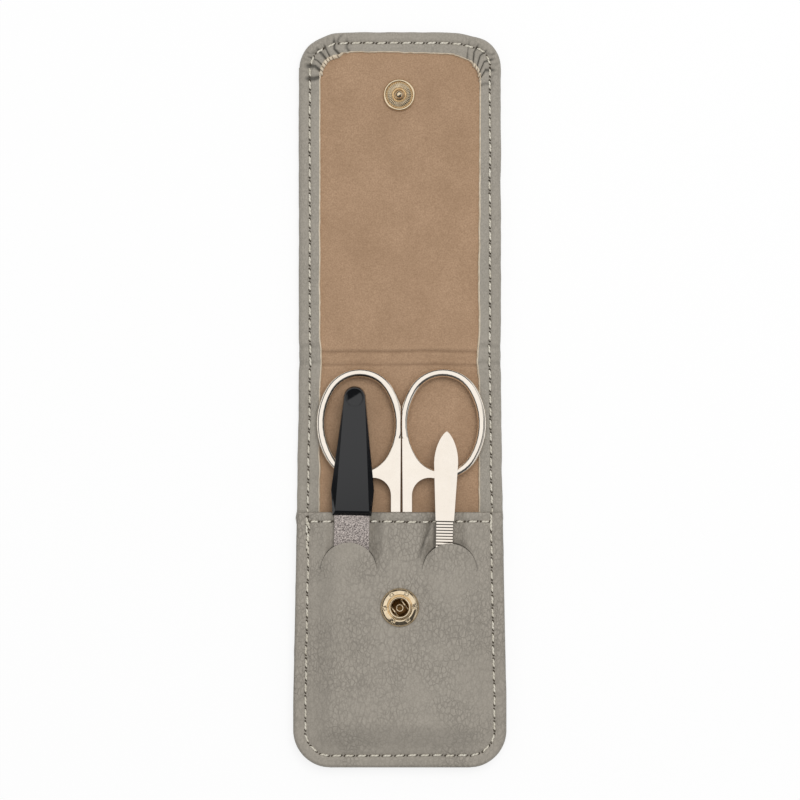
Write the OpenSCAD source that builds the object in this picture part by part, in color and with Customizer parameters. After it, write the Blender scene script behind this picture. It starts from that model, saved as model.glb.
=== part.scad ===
// Manicure set case: a folding leather wallet with a snap fastener that holds nail scissors, a file
// and tweezers. It lies open on its back: +Y is the flap end, +Z is up, and the origin is the middle
// of the rest face.
// Everything is in millimetres.

/* [Case] */
// Length of the open case, flap end to pocket foot
case_l = 200; // [180:1:240]
// Width across the flap
flap_w = 55; // [50:0.5:64]
// Width across the pocket near its foot
foot_w = 58; // [52:0.5:68]
// Corner radius of the flap
flap_r = 9.75; // [7:0.25:14]
// Corner radius of the pocket foot
foot_r = 10.2; // [7:0.2:14]
// Distance of the pocket-side crease above the middle
crease_y = 9.2; // [8:0.2:14]
// Width of the turned hem
hem_w = 5.9; // [4:0.1:9]

/* [Materials] */
// Thickness of the outer leather
leather_t = 1; // [0.8:0.1:1.6]
// Thickness of the card stiffeners
board_t = 0.8; // [0.5:0.1:1.5]
// Thickness of the suede lining
lining_t = 0.4; // [0.3:0.1:1]
// Thickness of the turned hem, pared thinner than the leather
hem_t = 0.8; // [0.5:0.1:1.2]
// Thickness of the pocket front
front_t = 1; // [0.7:0.1:1.4]

/* [Pocket] */
// Height of the pocket from the foot to its mouth
pocket_h = 69.5; // [60:0.5:76]
// Flat stitched border of the pocket front
border_w = 3.4; // [2.5:0.1:5]
// Free height between the scissors and the pocket front
pocket_room = 1.5; // [1.4:0.1:3]
// Radius of the tongue over the file
file_tongue_r = 7.6; // [7:0.1:9]
// Radius of the tongue over the tweezers
tweezer_tongue_r = 7.35; // [7:0.05:9]
// Distance from the mouth to the tongue centres
tongue_drop = 15.8; // [14:0.2:20]
// Width of the cut that frees a tongue
slit_w = 0.4; // [0.2:0.1:0.8]

/* [Snap fastener] */
// Distance from the mouth to the socket
socket_drop = 25.8; // [22:0.2:30]
// Diameter of the socket
socket_d = 10.5; // [9:0.1:13]
// Height of the socket above the leather
socket_h = 2.6; // [2.2:0.1:3.4]
// Bore of the socket
socket_bore_d = 4.68; // [4.4:0.02:5]
// Diameter of the two wires of the socket spring
spring_d = 0.44; // [0.3:0.02:0.6]
// Diameter of the stud
stud_d = 8.7; // [8:0.1:11]
// Thickness of the stud flange
stud_t = 0.9; // [0.7:0.1:1.2]
// Diameter of the ball on the stud
ball_d = 2.44; // [2.2:0.02:2.6]
// Gap between stud flange and socket when closed
snap_gap = 0.5; // [0.3:0.1:1]
// Number of flutes pressed into the stud
flutes = 36; // [24:2:48]

/* [Scissors] */
// Width of a finger hole
hole_w = 18.8; // [17:0.1:21]
// Length of a finger hole
hole_h = 25.3; // [23:0.1:28]
// Diameter of the ring bar
bar_d = 2.44; // [2:0.02:3]
// Width of the ring beside the middle line
ring_side = 1.87; // [1.5:0.01:3]
// Distance from the pivot to the middle of a finger hole
ring_reach = 41.9; // [38:0.1:46]
// Distance from the pivot to the blade tip
blade_reach = 33; // [28:0.5:38]
// Width of a shank
shank_w = 2.42; // [2:0.02:3.4]
// Distance of the pivot below the pocket mouth
pivot_drop = 17.9; // [16:0.1:22]
// Place of the scissors across the case
scissors_x = 0.45; // [-1:0.05:2]
// Radius of the joint of the scissors
boss_r = 4.6; // [4:0.1:5.2]
// Diameter of the pivot screw
screw_d = 2.4; // [1.8:0.1:3]

/* [File] */
// Length of the file handle
handle_l = 35.1; // [32:0.1:37]
// Greatest width of the handle
handle_w = 11.66; // [10.6:0.02:13]
// Thickness of the handle
handle_t = 3.3; // [2.8:0.1:3.8]
// Length of the blade outside the handle
file_l = 58; // [50:0.5:60]
// Width of the blade
file_w = 9.5; // [8.5:0.1:10.4]
// Thickness of the blade
file_t = 1; // [0.8:0.1:1.2]
// Place of the file across the case
file_x = -12.97; // [-13.6:0.01:-12.4]

/* [Tweezers] */
// Length of the tweezers
tweezers_l = 80.3; // [74:0.1:83]
// Greatest width of the leaf end
leaf_w = 6.5; // [5.6:0.1:7.4]
// Length of the leaf end
leaf_l = 24.3; // [22.5:0.1:26]
// Width of the ribbed grip
grip_w = 4.5; // [3.8:0.1:4.9]
// Length of the ribbed grip
grip_l = 21.6; // [16:0.8:28]
// Spacing of the ribs
rib_pitch = 0.8; // [0.7:0.05:1.2]
// Thickness of an arm at the leaf end
leaf_t = 1; // [0.8:0.05:1.1]
// Thickness of an arm at its tip
tip_t = 0.6; // [0.4:0.05:0.8]
// Angle between the arms as the pocket holds them
spread = 0.9; // [0.5:0.1:1.1]
// Place of the leaf tip across the case
tweezers_x = 12.75; // [12.2:0.05:13.2]

/* [Hidden] */
// Every node of the part, one solid piece of the real object each
$fn = 64;
eps = 0.01;

// Colours
leather_c = [0.58, 0.56, 0.52];
suede_c = [0.67, 0.55, 0.44];
card_c = [0.75, 0.72, 0.66];
gold_c = [0.84, 0.70, 0.45];
nickel_c = [0.86, 0.83, 0.80];
black_c = [0.09, 0.09, 0.10];
grit_c = [0.60, 0.56, 0.58];

// Places along the case
end_y = case_l / 2;
mouth_y = -end_y + pocket_h;
socket_y = mouth_y - socket_drop;
tongue_y = mouth_y - tongue_drop;
pivot_y = mouth_y - pivot_drop;

// Heights of the layers, from the rest face up
board_z = leather_t;
lining_z = board_z + board_t;
lining_top = lining_z + lining_t;
hem_top = lining_top + hem_t;
board_gap = 1.2;
flat_z = hem_top + front_t;
run_gap = 0.05;
scissors_z = hem_top + run_gap;
deck_z = scissors_z + bar_d;
front_in = deck_z + pocket_room;
front_top = front_in + front_t;

// The spine is as wide as the closed case needs for its contents and the fastener
closed_lining_z = front_top + socket_h + snap_gap + stud_t;
spine_w = closed_lining_z - hem_t - hem_top;
flap_y = crease_y + spine_w;
stud_y = flap_y + crease_y - socket_y;

// Pocket front: levels of the band across the mouth, and the swell over the tweezers
file_sill = deck_z - 0.3;
tweezer_sill = deck_z - 0.5;
edge_x = foot_w / 2 + 1;
border_x = half_w(mouth_y) - border_w;
swell_top = front_top + 1;
swell_x = tweezers_x - 0.55;
file_tongue_x = file_x - 0.93;
tweezer_tongue_x = tweezers_x + 0.79;

// Tilts of the loose tools in their slots, in degrees
tool_turn = -1.3;
file_slope = 2;
tweezer_slope = 2.5;

// File: the joint of blade and handle lies just above the mouth
handle_under = 0.4;
file_y = mouth_y - 0.85;
file_z = file_sill + 0.18 + handle_under;
tang_l = 14;
tang_w = file_w * 0.65;

// Tweezers: the leaf tip is where the arms meet
tweezers_y = mouth_y + 21.95;
grip_t = leaf_t * 0.75;
leaf_end_z = tweezer_sill + 0.35 + leaf_t;
tweezers_z = leaf_end_z + (leaf_l - 2.35) * tan(tweezer_slope);

// Scissors
lap_gap = 0.05;
web_in = 0;
lap_t = (bar_d - lap_gap) / 2 - web_in;
half_gap = 0.2;
ring_x = hole_w / 2 + ring_side;
shank_in = 0.42;
shank_out = shank_in + shank_w;
shoulder_r = 4.8;
shoulder_x = -shank_out - shoulder_r;
ring_foot_r = oval_end(hole_w, hole_h) + bar_d;
ring_foot_y = ring_reach - oval_rise(hole_w, hole_h);
shoulder_y = ring_foot_y - sqrt(pow(ring_foot_r + shoulder_r, 2) - pow(shoulder_x + ring_x, 2));
shoulder_turn = atan2(ring_foot_y - shoulder_y, -ring_x - shoulder_x);
lap_y = boss_r + 0.9;
head_r = screw_d / 2 + 1.1;
head_t = 0.5;

// Snap fastener
socket_z = front_top;
floor_t = 0.4;
eyelet_r = 1.4;
eyelet_bore_r = 1;
rim_t = 0.3;
flange_t = 0.4;
ball_z = socket_z + floor_t + rim_t + 0.85;
ball_drop = closed_lining_z - ball_z;
spring_z = ball_z + 0.8;
spring_offset = ball_d / 2 + spring_d / 2 - 0.08;
spring_turn = -54;
post_r = 0.9;
rivet_r = 3.2;

// Smooth step between 0 and 1
function smooth(t) = t * t * (3 - 2 * t);

// Curve through stations [place, height], level at each station
function profile(st, n = 6) = concat(
    [for (i = [0:len(st) - 2], k = [0:n - 1])
        [st[i][0] + (st[i + 1][0] - st[i][0]) * k / n,
         st[i][1] + (st[i + 1][1] - st[i][1]) * smooth(k / n)]],
    [st[len(st) - 1]]);

// Arc points about [x, y]
function arc(x, y, r, a0, a1, n = 10) = [for (i = [0:n]) let (a = a0 + (a1 - a0) * i / n)
    [x + r * cos(a), y + r * sin(a)]];

// Half width of the case at height y: straight along the flap, flaring towards the foot
function half_w(y) = let (t = min(1, max(0, (crease_y - y) / (crease_y + end_y - 18))))
    (flap_w + (foot_w - flap_w) * pow(t, 1.3)) / 2;

// Outline of the pocket part, drawn in by d; its sides share their stations at every height of the top
function pocket_outline(d = 0, top = crease_y) = let (
    r = foot_r - d, cx = foot_w / 2 - foot_r, cy = -end_y + foot_r,
    right = concat([[half_w(top) - d, top]],
                   [for (i = [0:6]) let (y = crease_y + (cy - crease_y) * i / 6)
                       if (y < top - 0.1) [half_w(y) - d, y]],
                   arc(cx, cy, r, -6, -90)))
    concat(right, [for (i = [len(right) - 1:-1:0]) [-right[i][0], right[i][1]]]);

// Outline of the flap, drawn in by d
function flap_outline(d = 0, low = flap_y) = let (
    r = flap_r - d, cx = flap_w / 2 - flap_r, cy = end_y - flap_r)
    concat([[-flap_w / 2 + d, low], [flap_w / 2 - d, low]],
           arc(cx, cy, r, 0, 90), arc(-cx, cy, r, 90, 180));

// Opening inside the hem of the flap: its corners are cut across the gathered leather
function flap_window() = let (w = flap_w / 2 - hem_w, y = end_y - hem_w + 0.6)
    [[-w, flap_y - 1], [w, flap_y - 1], [w, y - 7.4], [w - 7.4, y], [-w + 7.4, y], [-w, y - 7.4]];

// Opening inside the hem of the pocket part
function pocket_window() = let (w = flap_w / 2 - hem_w, y = -end_y + hem_w)
    [[-w, crease_y + 1], [-w - 0.8, mouth_y], [-w - 0.8, y + 5], [-w + 4.2, y],
     [w - 4.2, y], [w + 0.8, y + 5], [w + 0.8, mouth_y], [w, crease_y + 1]];

// Leather with its hem turned up over the lining
module turned_leather(outline, inner, window) {
    color(leather_c) difference() {
        linear_extrude(hem_top) polygon(outline);
        translate([0, 0, board_z]) linear_extrude(lining_top - board_z) polygon(inner);
        translate([0, 0, lining_top - eps]) linear_extrude(hem_t + 2 * eps) polygon(window);
    }
}

module leather_pocket_back() {
    turned_leather(pocket_outline(), pocket_outline(leather_t, crease_y + 1), pocket_window());
}

module leather_flap() {
    turned_leather(flap_outline(), flap_outline(leather_t, flap_y - 1), flap_window());
}

module leather_spine() {
    w = flap_w / 2;
    color(leather_c) difference() {
        translate([-w, crease_y, 0]) cube([flap_w, spine_w, hem_top]);
        translate([-w + leather_t, crease_y - 1, board_z])
            cube([flap_w - 2 * leather_t, spine_w + 2, lining_top - board_z]);
        translate([-w + hem_w, crease_y - 1, lining_top - eps])
            cube([flap_w - 2 * hem_w, spine_w + 2, hem_t + 1]);
    }
}

module pocket_board() {
    color(card_c) translate([0, 0, board_z]) linear_extrude(board_t)
        polygon(pocket_outline(leather_t, crease_y - board_gap));
}

module flap_board() {
    color(card_c) difference() {
        translate([0, 0, board_z]) linear_extrude(board_t)
            polygon(flap_outline(leather_t, flap_y + board_gap));
        translate([0, stud_y, board_z - 1]) cylinder(h = board_t + 2, r = post_r);
        translate([0, stud_y, board_z - eps]) cylinder(h = flange_t + eps, r = rivet_r);
    }
}

// Suede lining: it lies on the card, and across the spine on the leather itself
module pocket_lining() {
    color(suede_c) translate([0, 0, lining_z]) linear_extrude(lining_t) polygon(pocket_outline(leather_t));
}

module spine_lining() {
    w = flap_w / 2 - leather_t;
    color(suede_c) translate([-w, crease_y, board_z]) cube([2 * w, spine_w, lining_top - board_z]);
}

module flap_lining() {
    color(suede_c) difference() {
        translate([0, 0, lining_z]) linear_extrude(lining_t) polygon(flap_outline(leather_t));
        translate([0, stud_y, lining_z - 1]) cylinder(h = lining_t + 2, r = post_r);
    }
}

// Solid under a curve across the case, from the hem up
module ridge_x(pts, y0, y1) {
    translate([0, y1, 0]) rotate([90, 0, 0]) linear_extrude(y1 - y0)
        polygon(concat([[pts[0][0], hem_top - 1]], pts, [[pts[len(pts) - 1][0], hem_top - 1]]));
}

// Solid under a curve along the case
module ridge_y(pts) {
    w = foot_w + 4;
    translate([-w / 2, 0, 0]) rotate([90, 0, 90]) linear_extrude(w)
        polygon(concat([[pts[0][0], hem_top - 1]], pts, [[pts[len(pts) - 1][0], hem_top - 1]]));
}

// Mound of the pocket front over its contents, lowered by d for the inner face
module mound(d) {
    y0 = -end_y - 1;
    slope = 6.2;
    intersection() {
        ridge_x(profile([
            [-edge_x, flat_z - d], [-border_x, flat_z - d], [-border_x + slope, front_top - d],
            [border_x - slope, front_top - d], [border_x, flat_z - d], [edge_x, flat_z - d]]), y0, mouth_y);
        ridge_y(profile([[y0, flat_z - d], [-end_y + border_w + 0.6, flat_z - d],
            [-end_y + border_w + 6.6, front_top - d], [mouth_y + 1, front_top - d]]));
    }
}

// Swell of the right tongue over the tweezers, fading towards the foot
module swell(d) {
    intersection() {
        ridge_x(profile([
            [swell_x - 5.4, front_top - d - 0.1], [swell_x - 3, swell_top - d],
            [swell_x + 3, swell_top - d], [swell_x + 5.6, front_top - d - 0.1]]), mouth_y - 38, mouth_y - 1);
        ridge_y(profile([[mouth_y - 36, front_top - d - 0.4], [mouth_y - 20, swell_top - d],
            [mouth_y, swell_top - d]]));
    }
}

// Band across the mouth: it dips under the file and the tweezers and arches over the scissors
module band(d) {
    ridge_x(profile([
        [-edge_x, flat_z - d], [-border_x, flat_z - d], [-border_x + 3.4, file_sill + 1 - d],
        [file_x - 5.8, file_sill - d], [file_x + 5.6, file_sill - d], [file_x + 7.6, front_top - d],
        [swell_x - 6.2, front_top - d], [swell_x - 3.1, tweezer_sill - d],
        [swell_x + 3.3, tweezer_sill - d], [swell_x + 6.2, file_sill + 1.2 - d],
        [border_x - 3.6, file_sill + 1.2 - d], [border_x, flat_z - d], [edge_x, flat_z - d]]),
        tongue_y - 1, mouth_y);
}

// Plan of what lies below the slits: the foot part and the two tongues
module tongue_plan() {
    translate([-edge_x, -end_y - 1]) square([2 * edge_x, tongue_y + end_y + 1]);
    translate([file_tongue_x, tongue_y]) circle(r = file_tongue_r);
    translate([tweezer_tongue_x, tongue_y]) circle(r = tweezer_tongue_r);
}

// Half-ring slit round the free edge of a tongue
module slit(x, r) {
    translate([x, tongue_y, hem_top - 1]) difference() {
        cylinder(h = 12, r = r + slit_w / 2);
        translate([0, 0, -1]) cylinder(h = 14, r = r - slit_w / 2);
        translate([-r - 2, -2 * r, -1]) cube([2 * r + 4, 2 * r, 14]);
    }
}

module pocket_front() {
    color(leather_c) difference() {
        intersection() {
            translate([0, 0, hem_top]) linear_extrude(12) polygon(pocket_outline(0, mouth_y));
            union() {
                intersection() {
                    linear_extrude(30) tongue_plan();
                    difference() {
                        union() { mound(0); swell(0); }
                        mound(front_t);
                        swell(front_t);
                    }
                }
                difference() {
                    band(0);
                    band(front_t);
                    translate([0, 0, -1]) linear_extrude(30) tongue_plan();
                }
            }
        }
        slit(file_tongue_x, file_tongue_r);
        slit(tweezer_tongue_x, tweezer_tongue_r);
        translate([0, socket_y, 0]) cylinder(h = 30, r = eyelet_r);
    }
}

// Socket: a domed ring with a raised collar round the bore
module socket_ring() {
    r = socket_d / 2;
    b = socket_bore_d / 2;
    rotate_extrude() polygon([
        [eyelet_r, 0], [r - 0.1, 0], [r, 0.25], [r - 0.25, 0.8], [r - 0.75, 1.25], [r - 1.3, 1.45],
        [b + 1.05, 1.5], [b + 0.95, 2], [b + 0.75, socket_h - 0.15], [b + 0.5, socket_h],
        [b + 0.2, socket_h - 0.1], [b, socket_h - 0.4], [b, floor_t], [eyelet_r, floor_t]]);
}

// Five-pointed punch mark in the dome
module punch_mark() {
    linear_extrude(1) polygon([for (i = [0:9]) let (r = i % 2 == 0 ? 0.42 : 0.18)
        [r * cos(i * 36), r * sin(i * 36)]]);
}

module wires(d, over) {
    len = 2 * sqrt(pow(socket_bore_d / 2, 2) - pow(spring_offset, 2)) + over;
    for (s = [-1, 1]) rotate([0, 0, spring_turn]) translate([-len / 2, s * spring_offset, spring_z])
        rotate([0, 90, 0]) cylinder(h = len, d = d);
}

module snap_socket() {
    color(gold_c) difference() {
        translate([0, socket_y, socket_z]) socket_ring();
        translate([0, socket_y, 0]) wires(spring_d, 0.9);
        for (i = [0:5]) translate([0, socket_y, socket_z + 1.3]) rotate([0, 0, 60 * i + 10])
            translate([socket_d / 2 - 1.35, 0, 0]) punch_mark();
    }
}

// Two straight wires that grip the ball of the stud
module socket_spring() {
    color(gold_c) translate([0, socket_y, 0]) wires(spring_d, 0.8);
}

// Eyelet: its flange lies inside the pocket and its rolled rim holds the socket
module socket_eyelet() {
    low = front_in - flange_t;
    rim = socket_z + floor_t;
    color(gold_c) translate([0, socket_y, 0]) rotate_extrude() polygon([
        [eyelet_bore_r, low], [3.6, low], [3.6, front_in], [eyelet_r, front_in], [eyelet_r, rim],
        [eyelet_r + 0.35, rim], [eyelet_r + 0.4, rim + rim_t / 2], [eyelet_r + 0.2, rim + rim_t],
        [eyelet_bore_r + 0.1, rim + rim_t], [eyelet_bore_r, rim + rim_t - 0.1]]);
}

// Stud: fluted flange, hub and ball, facing up from the lining of the open flap
module snap_stud() {
    r = stud_d / 2;
    hub = r - 2.45;
    color(gold_c) translate([0, stud_y, lining_top]) difference() {
        union() {
            rotate_extrude() polygon([
                [post_r, 0], [r, 0], [r, 0.4], [r - 0.2, 0.75], [r - 0.5, stud_t], [r - 0.75, stud_t],
                [hub + 0.1, 0.55], [hub, 0.62], [hub - 0.25, stud_t], [0.8, stud_t + 0.1],
                [0.8, ball_drop], [0, ball_drop], [0, 0.7], [post_r, 0.7]]);
            translate([0, 0, ball_drop]) sphere(d = ball_d);
        }
        for (i = [0:flutes - 1]) rotate([0, 0, 360 * i / flutes]) translate([hub + 0.3, 0, 0.86])
            rotate([45, 0, 0]) cube([r - hub - 0.95, 0.2, 0.2]);
    }
}

// Rivet: its flange lies between leather and card, its post holds the stud from behind
module stud_rivet() {
    color(gold_c) translate([0, stud_y, board_z]) {
        cylinder(h = flange_t, r = rivet_r);
        cylinder(h = board_t + lining_t + 0.7, r = post_r);
    }
}

// Four arcs make the oval of a finger hole: radius and rise of its ends, place and turn of its sides
function oval_end(w, h) = w / 2 * 0.87;
function oval_rise(w, h) = h / 2 - oval_end(w, h);
function oval_side(w, h) = let (e = oval_rise(w, h), k = w / 2 - oval_end(w, h)) (e * e - k * k) / (2 * k);
function oval_turn(w, h) = atan(oval_rise(w, h) / oval_side(w, h));

// Oval outline of a finger hole, grown by g
function oval(w, h, g = 0) = let (
    e = oval_rise(w, h), d = oval_side(w, h), a = oval_turn(w, h),
    re = oval_end(w, h) + g, rs = w / 2 + d + g)
    concat(arc(-d, 0, rs, -a, a, 12), arc(0, e, re, a, 180 - a, 16),
           arc(d, 0, rs, 180 - a, 180 + a, 12), arc(0, -e, re, 180 + a, 360 - a, 16));

// Middle line of the ring bar: places on the oval with the way out of the hole at each
function ring_arc(x, y, r, a0, a1, n) = [for (i = [0:n - 1]) let (a = a0 + (a1 - a0) * i / n)
    [x + r * cos(a), y + r * sin(a), a]];
function ring_line(w, h, g) = let (
    e = oval_rise(w, h), d = oval_side(w, h), a = oval_turn(w, h),
    re = oval_end(w, h) + g, rs = w / 2 + d + g)
    concat(ring_arc(-d, 0, rs, -a, a, 9), ring_arc(0, e, re, a, 180 - a, 16),
           ring_arc(d, 0, rs, 180 - a, 180 + a, 9), ring_arc(0, -e, re, 180 + a, 360 - a, 16));

// Round bar swept along the finger hole
module finger_ring(sides = 16) {
    line = ring_line(hole_w, hole_h, bar_d / 2);
    n = len(line);
    r = bar_d / 2;
    polyhedron(
        points = [for (p = line, j = [0:sides - 1]) let (b = (j + 0.5) * 360 / sides)
            [p[0] + r * cos(b) * cos(p[2]), p[1] + r * cos(b) * sin(p[2]), r * sin(b)]],
        faces = [for (i = [0:n - 1], j = [0:sides - 1], half = [0, 1]) let (
            a = i * sides + j, b = i * sides + (j + 1) % sides,
            c = ((i + 1) % n) * sides + (j + 1) % sides, d = ((i + 1) % n) * sides + j)
            half == 0 ? [a, b, c] : [a, c, d]]);
}

// Flat plate between finger ring and joint: web, shoulder and shank. It runs out to a point on the ring bar
module web_plate() {
    bar_in = bar_d / 2;
    difference() {
        polygon(concat(
            [[-half_gap, ring_reach - 4], [-shank_in, shoulder_y], [-shank_in, lap_y], [-shank_out, lap_y],
             [-shank_out, shoulder_y]],
            arc(shoulder_x, shoulder_y, shoulder_r, 9, shoulder_turn, 9),
            [[-ring_x - 1, ring_foot_y - ring_foot_r + bar_in], [shoulder_x - 1, ring_reach - 4]]));
        translate([-ring_x, ring_reach]) polygon(oval(hole_w, hole_h, bar_in / 2));
    }
}

// Curved back of a blade, from the joint to the tip
function blade_back(n = 8) = [for (i = [0:n]) let (t = i / n)
    [0.35 + 3.9 * (1 - pow(t, 1.5)), -1.8 - (blade_reach - 1.8) * t]];

// One half about its pivot: ring at -X, blade crossing to +X
module scissors_half(lap_z) {
    intersection() {
        translate([-ring_x, ring_reach, bar_d / 2]) finger_ring();
        translate([-60, 0, -1]) cube([60 - half_gap, 80, 10]);
    }
    translate([0, 0, web_in]) linear_extrude(bar_d - 2 * web_in) web_plate();
    translate([0, 0, lap_z + web_in]) linear_extrude(lap_t) {
        circle(r = boss_r);
        polygon([[-shank_in, lap_y + 1], [-shank_out, lap_y + 1], [-boss_r + 0.6, 1.4], [0, 0], [1.5, 3]]);
        polygon(concat([[-1.5, -3.4]], blade_back(), [[-0.1, -blade_reach]]));
    }
}

module scissors_left_half() {
    color(nickel_c) translate([scissors_x, pivot_y, scissors_z]) difference() {
        scissors_half(0);
        translate([0, 0, -1]) cylinder(h = bar_d + 2, d = screw_d + 2 * run_gap);
        translate([0, 0, -1]) cylinder(h = 1 + head_t + run_gap, r = head_r - 0.4 + run_gap);
    }
}

module scissors_right_half() {
    color(nickel_c) translate([scissors_x, pivot_y, scissors_z]) difference() {
        mirror([1, 0, 0]) scissors_half(lap_t + lap_gap);
        translate([0, 0, -1]) cylinder(h = bar_d + 2, d = screw_d + 2 * run_gap);
        translate([0, 0, bar_d - head_t - run_gap]) cylinder(h = 2, r = head_r + run_gap);
    }
}

// Pivot screw: slotted flush head above, riveted foot below
module scissors_screw() {
    color(nickel_c) translate([scissors_x, pivot_y, scissors_z]) difference() {
        union() {
            cylinder(h = bar_d, d = screw_d);
            translate([0, 0, bar_d - head_t]) cylinder(h = head_t, r = head_r);
            cylinder(h = head_t, r = head_r - 0.4);
        }
        translate([-head_r - 1, -0.25, bar_d - 0.3]) cube([2 * head_r + 2, 0.5, 1]);
    }
}

// Frame of the file: its own length along Y, blade towards the foot
module file_frame() {
    translate([file_x, file_y, file_z]) rotate([0, 0, tool_turn]) rotate([file_slope, 0, 0]) children();
}

module file_tang() {
    translate([-tang_w / 2, -1, 0]) cube([tang_w, tang_l + 1, file_t]);
}

// Blade outline: parallel sides that run out to a pointed arch
function blade_plan(point_l = 13) = let (
    w = file_w / 2,
    arch = [for (i = [1:7]) let (a = i * 90 / 8)
        [w * cos(a) * (1 - 0.1 * sin(a)), -file_l + point_l * (1 - sin(a))]])
    concat([[-w, -run_gap], [-w, -file_l + point_l]], [for (p = arch) [-p[0], p[1]]],
           [[0, -file_l]], [for (i = [6:-1:0]) arch[i]], [[w, -file_l + point_l], [w, -run_gap]]);

module file_blade() {
    color(grit_c) file_frame() union() {
        linear_extrude(file_t) polygon(blade_plan());
        file_tang();
    }
}

// Handle outline: round top end, widest near the blade, drawn in by d
module handle_plan(d, low) {
    end_r = 3.06;
    wide = handle_w / 2 - d;
    hull() {
        translate([0, handle_l - end_r]) circle(r = end_r - d, $fn = 32);
        polygon([[-wide, 6.8], [wide, 6.8], [wide - 0.58, low], [-wide + 0.58, low]]);
    }
}

module file_handle() {
    facet_w = 5.6;
    dimple_r = 4.6;
    top_z = handle_t - handle_under;
    color(black_c) file_frame() difference() {
        hull() {
            translate([0, 0, -handle_under]) linear_extrude(0.1) handle_plan(0.35, 0.35);
            translate([0, 0, -handle_under + 0.5]) linear_extrude(1.3) handle_plan(0, 0);
            translate([0, 0, top_z - 0.1]) linear_extrude(0.1) {
                translate([0, handle_l - 3.1]) circle(d = facet_w, $fn = 24);
                polygon([[-facet_w / 2, handle_l - 3.1], [-3.9, 6.8], [-4.6, 1.3], [4.6, 1.3], [3.9, 6.8],
                         [facet_w / 2, handle_l - 3.1]]);
            }
        }
        file_tang();
        translate([0, handle_l - 3.1, top_z + dimple_r - 0.75]) sphere(r = dimple_r);
    }
}

// Frame of the tweezers: origin at the leaf tip on the plane where the arms meet, arms along -Y
module tweezers_frame() {
    translate([tweezers_x, tweezers_y, tweezers_z]) rotate([0, 0, tool_turn])
        rotate([tweezer_slope, 0, 0]) children();
}

// Half width of the leaf at distance s from its tip
function leaf_half(s) = let (full = leaf_l * 0.355)
    s < full ? leaf_w / 2 * pow(1 - pow(1 - s / full, 2), 0.75)
             : leaf_w / 2 + (grip_w / 2 + 0.24 - leaf_w / 2) * (s - full) / (leaf_l - full);

module leaf_plan() {
    steps = [for (i = [1:9]) leaf_l * 0.355 * pow(i / 9, 1.6)];
    right = [for (s = steps) [leaf_half(s), -s]];
    left = [for (i = [8:-1:0]) [-leaf_half(steps[i]), -steps[i]]];
    w = leaf_half(leaf_l);
    polygon(concat([[0, 0]], right, [[w, -leaf_l], [-w, -leaf_l]], left));
}

// One arm with its flat inner face on z = 0 and its ribs on top
module tweezer_arm() {
    w = grip_w / 2;
    grip_end = leaf_l + grip_l;
    tip_w = 1.5;
    groove = 0.3 * rib_pitch;
    linear_extrude(leaf_t) leaf_plan();
    difference() {
        translate([-w, -grip_end, 0]) cube([grip_w, grip_l + 0.5, grip_t]);
        for (s = [leaf_l + rib_pitch / 2:rib_pitch:grip_end - rib_pitch / 2])
            translate([-w - 1, -s, grip_t]) rotate([90, 0, 90]) linear_extrude(grip_w + 2)
                polygon([[-groove, 0], [0, -0.26], [groove, 0], [0, 0.3]]);
    }
    linear_extrude(tip_t) polygon([[-w, -grip_end + 0.1], [w, -grip_end + 0.1], [w - 0.2, -grip_end - 9],
        [tip_w, -tweezers_l + 1.2], [-tip_w, -tweezers_l], [-w + 0.2, -grip_end - 9]]);
}

module tweezers_upper_arm() {
    color(nickel_c) tweezers_frame() rotate([-spread, 0, 0]) tweezer_arm();
}

module tweezers_lower_arm() {
    color(nickel_c) tweezers_frame() mirror([0, 0, 1]) tweezer_arm();
}

leather_pocket_back();
leather_spine();
leather_flap();
pocket_board();
flap_board();
pocket_lining();
spine_lining();
flap_lining();
pocket_front();
snap_socket();
socket_spring();
socket_eyelet();
snap_stud();
stud_rivet();
scissors_left_half();
scissors_right_half();
scissors_screw();
file_blade();
file_handle();
tweezers_upper_arm();
tweezers_lower_arm();
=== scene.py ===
# %% [markdown]
# # Dressing a manicure case
#
# The case lies open on its back. Its rigid tools come from the CAD frame and only need their metals and
# plastics. Everything that is leather, suede or thread is modelled here, because a soft edge, a gathered
# corner or a stitch is what makes the eye believe in leather. All working sizes are in millimetres, and
# each mesh is scaled to metres when it is finished.

import math

import bmesh
import bpy
from mathutils import Matrix, Vector, noise


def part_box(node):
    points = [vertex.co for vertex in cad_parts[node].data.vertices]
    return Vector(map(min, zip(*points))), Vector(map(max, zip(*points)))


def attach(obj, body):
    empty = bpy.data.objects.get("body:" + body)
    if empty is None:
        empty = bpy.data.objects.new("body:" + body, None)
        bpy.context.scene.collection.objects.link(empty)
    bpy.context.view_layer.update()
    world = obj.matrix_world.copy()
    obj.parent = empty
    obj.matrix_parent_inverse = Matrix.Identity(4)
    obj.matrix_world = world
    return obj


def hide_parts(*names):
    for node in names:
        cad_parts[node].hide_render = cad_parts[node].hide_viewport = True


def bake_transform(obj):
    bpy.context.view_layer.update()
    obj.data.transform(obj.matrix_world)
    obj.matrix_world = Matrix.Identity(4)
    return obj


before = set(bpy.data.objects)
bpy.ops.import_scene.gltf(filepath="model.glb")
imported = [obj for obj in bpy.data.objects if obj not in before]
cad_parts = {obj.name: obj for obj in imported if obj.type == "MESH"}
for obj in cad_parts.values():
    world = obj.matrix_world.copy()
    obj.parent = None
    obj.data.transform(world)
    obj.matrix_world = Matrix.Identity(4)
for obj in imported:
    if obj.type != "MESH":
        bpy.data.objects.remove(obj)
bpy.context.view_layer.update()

# %% [markdown]
# ## Measures taken from the frame
#
# The soft pieces must end where the CAD solids end, so their driving sizes are read from the boxes of
# the solids they stand for. Only the corner radii and seam places are written out, since a box can't
# tell them.

# %% Read the main sizes
MM = 0.001


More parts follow.
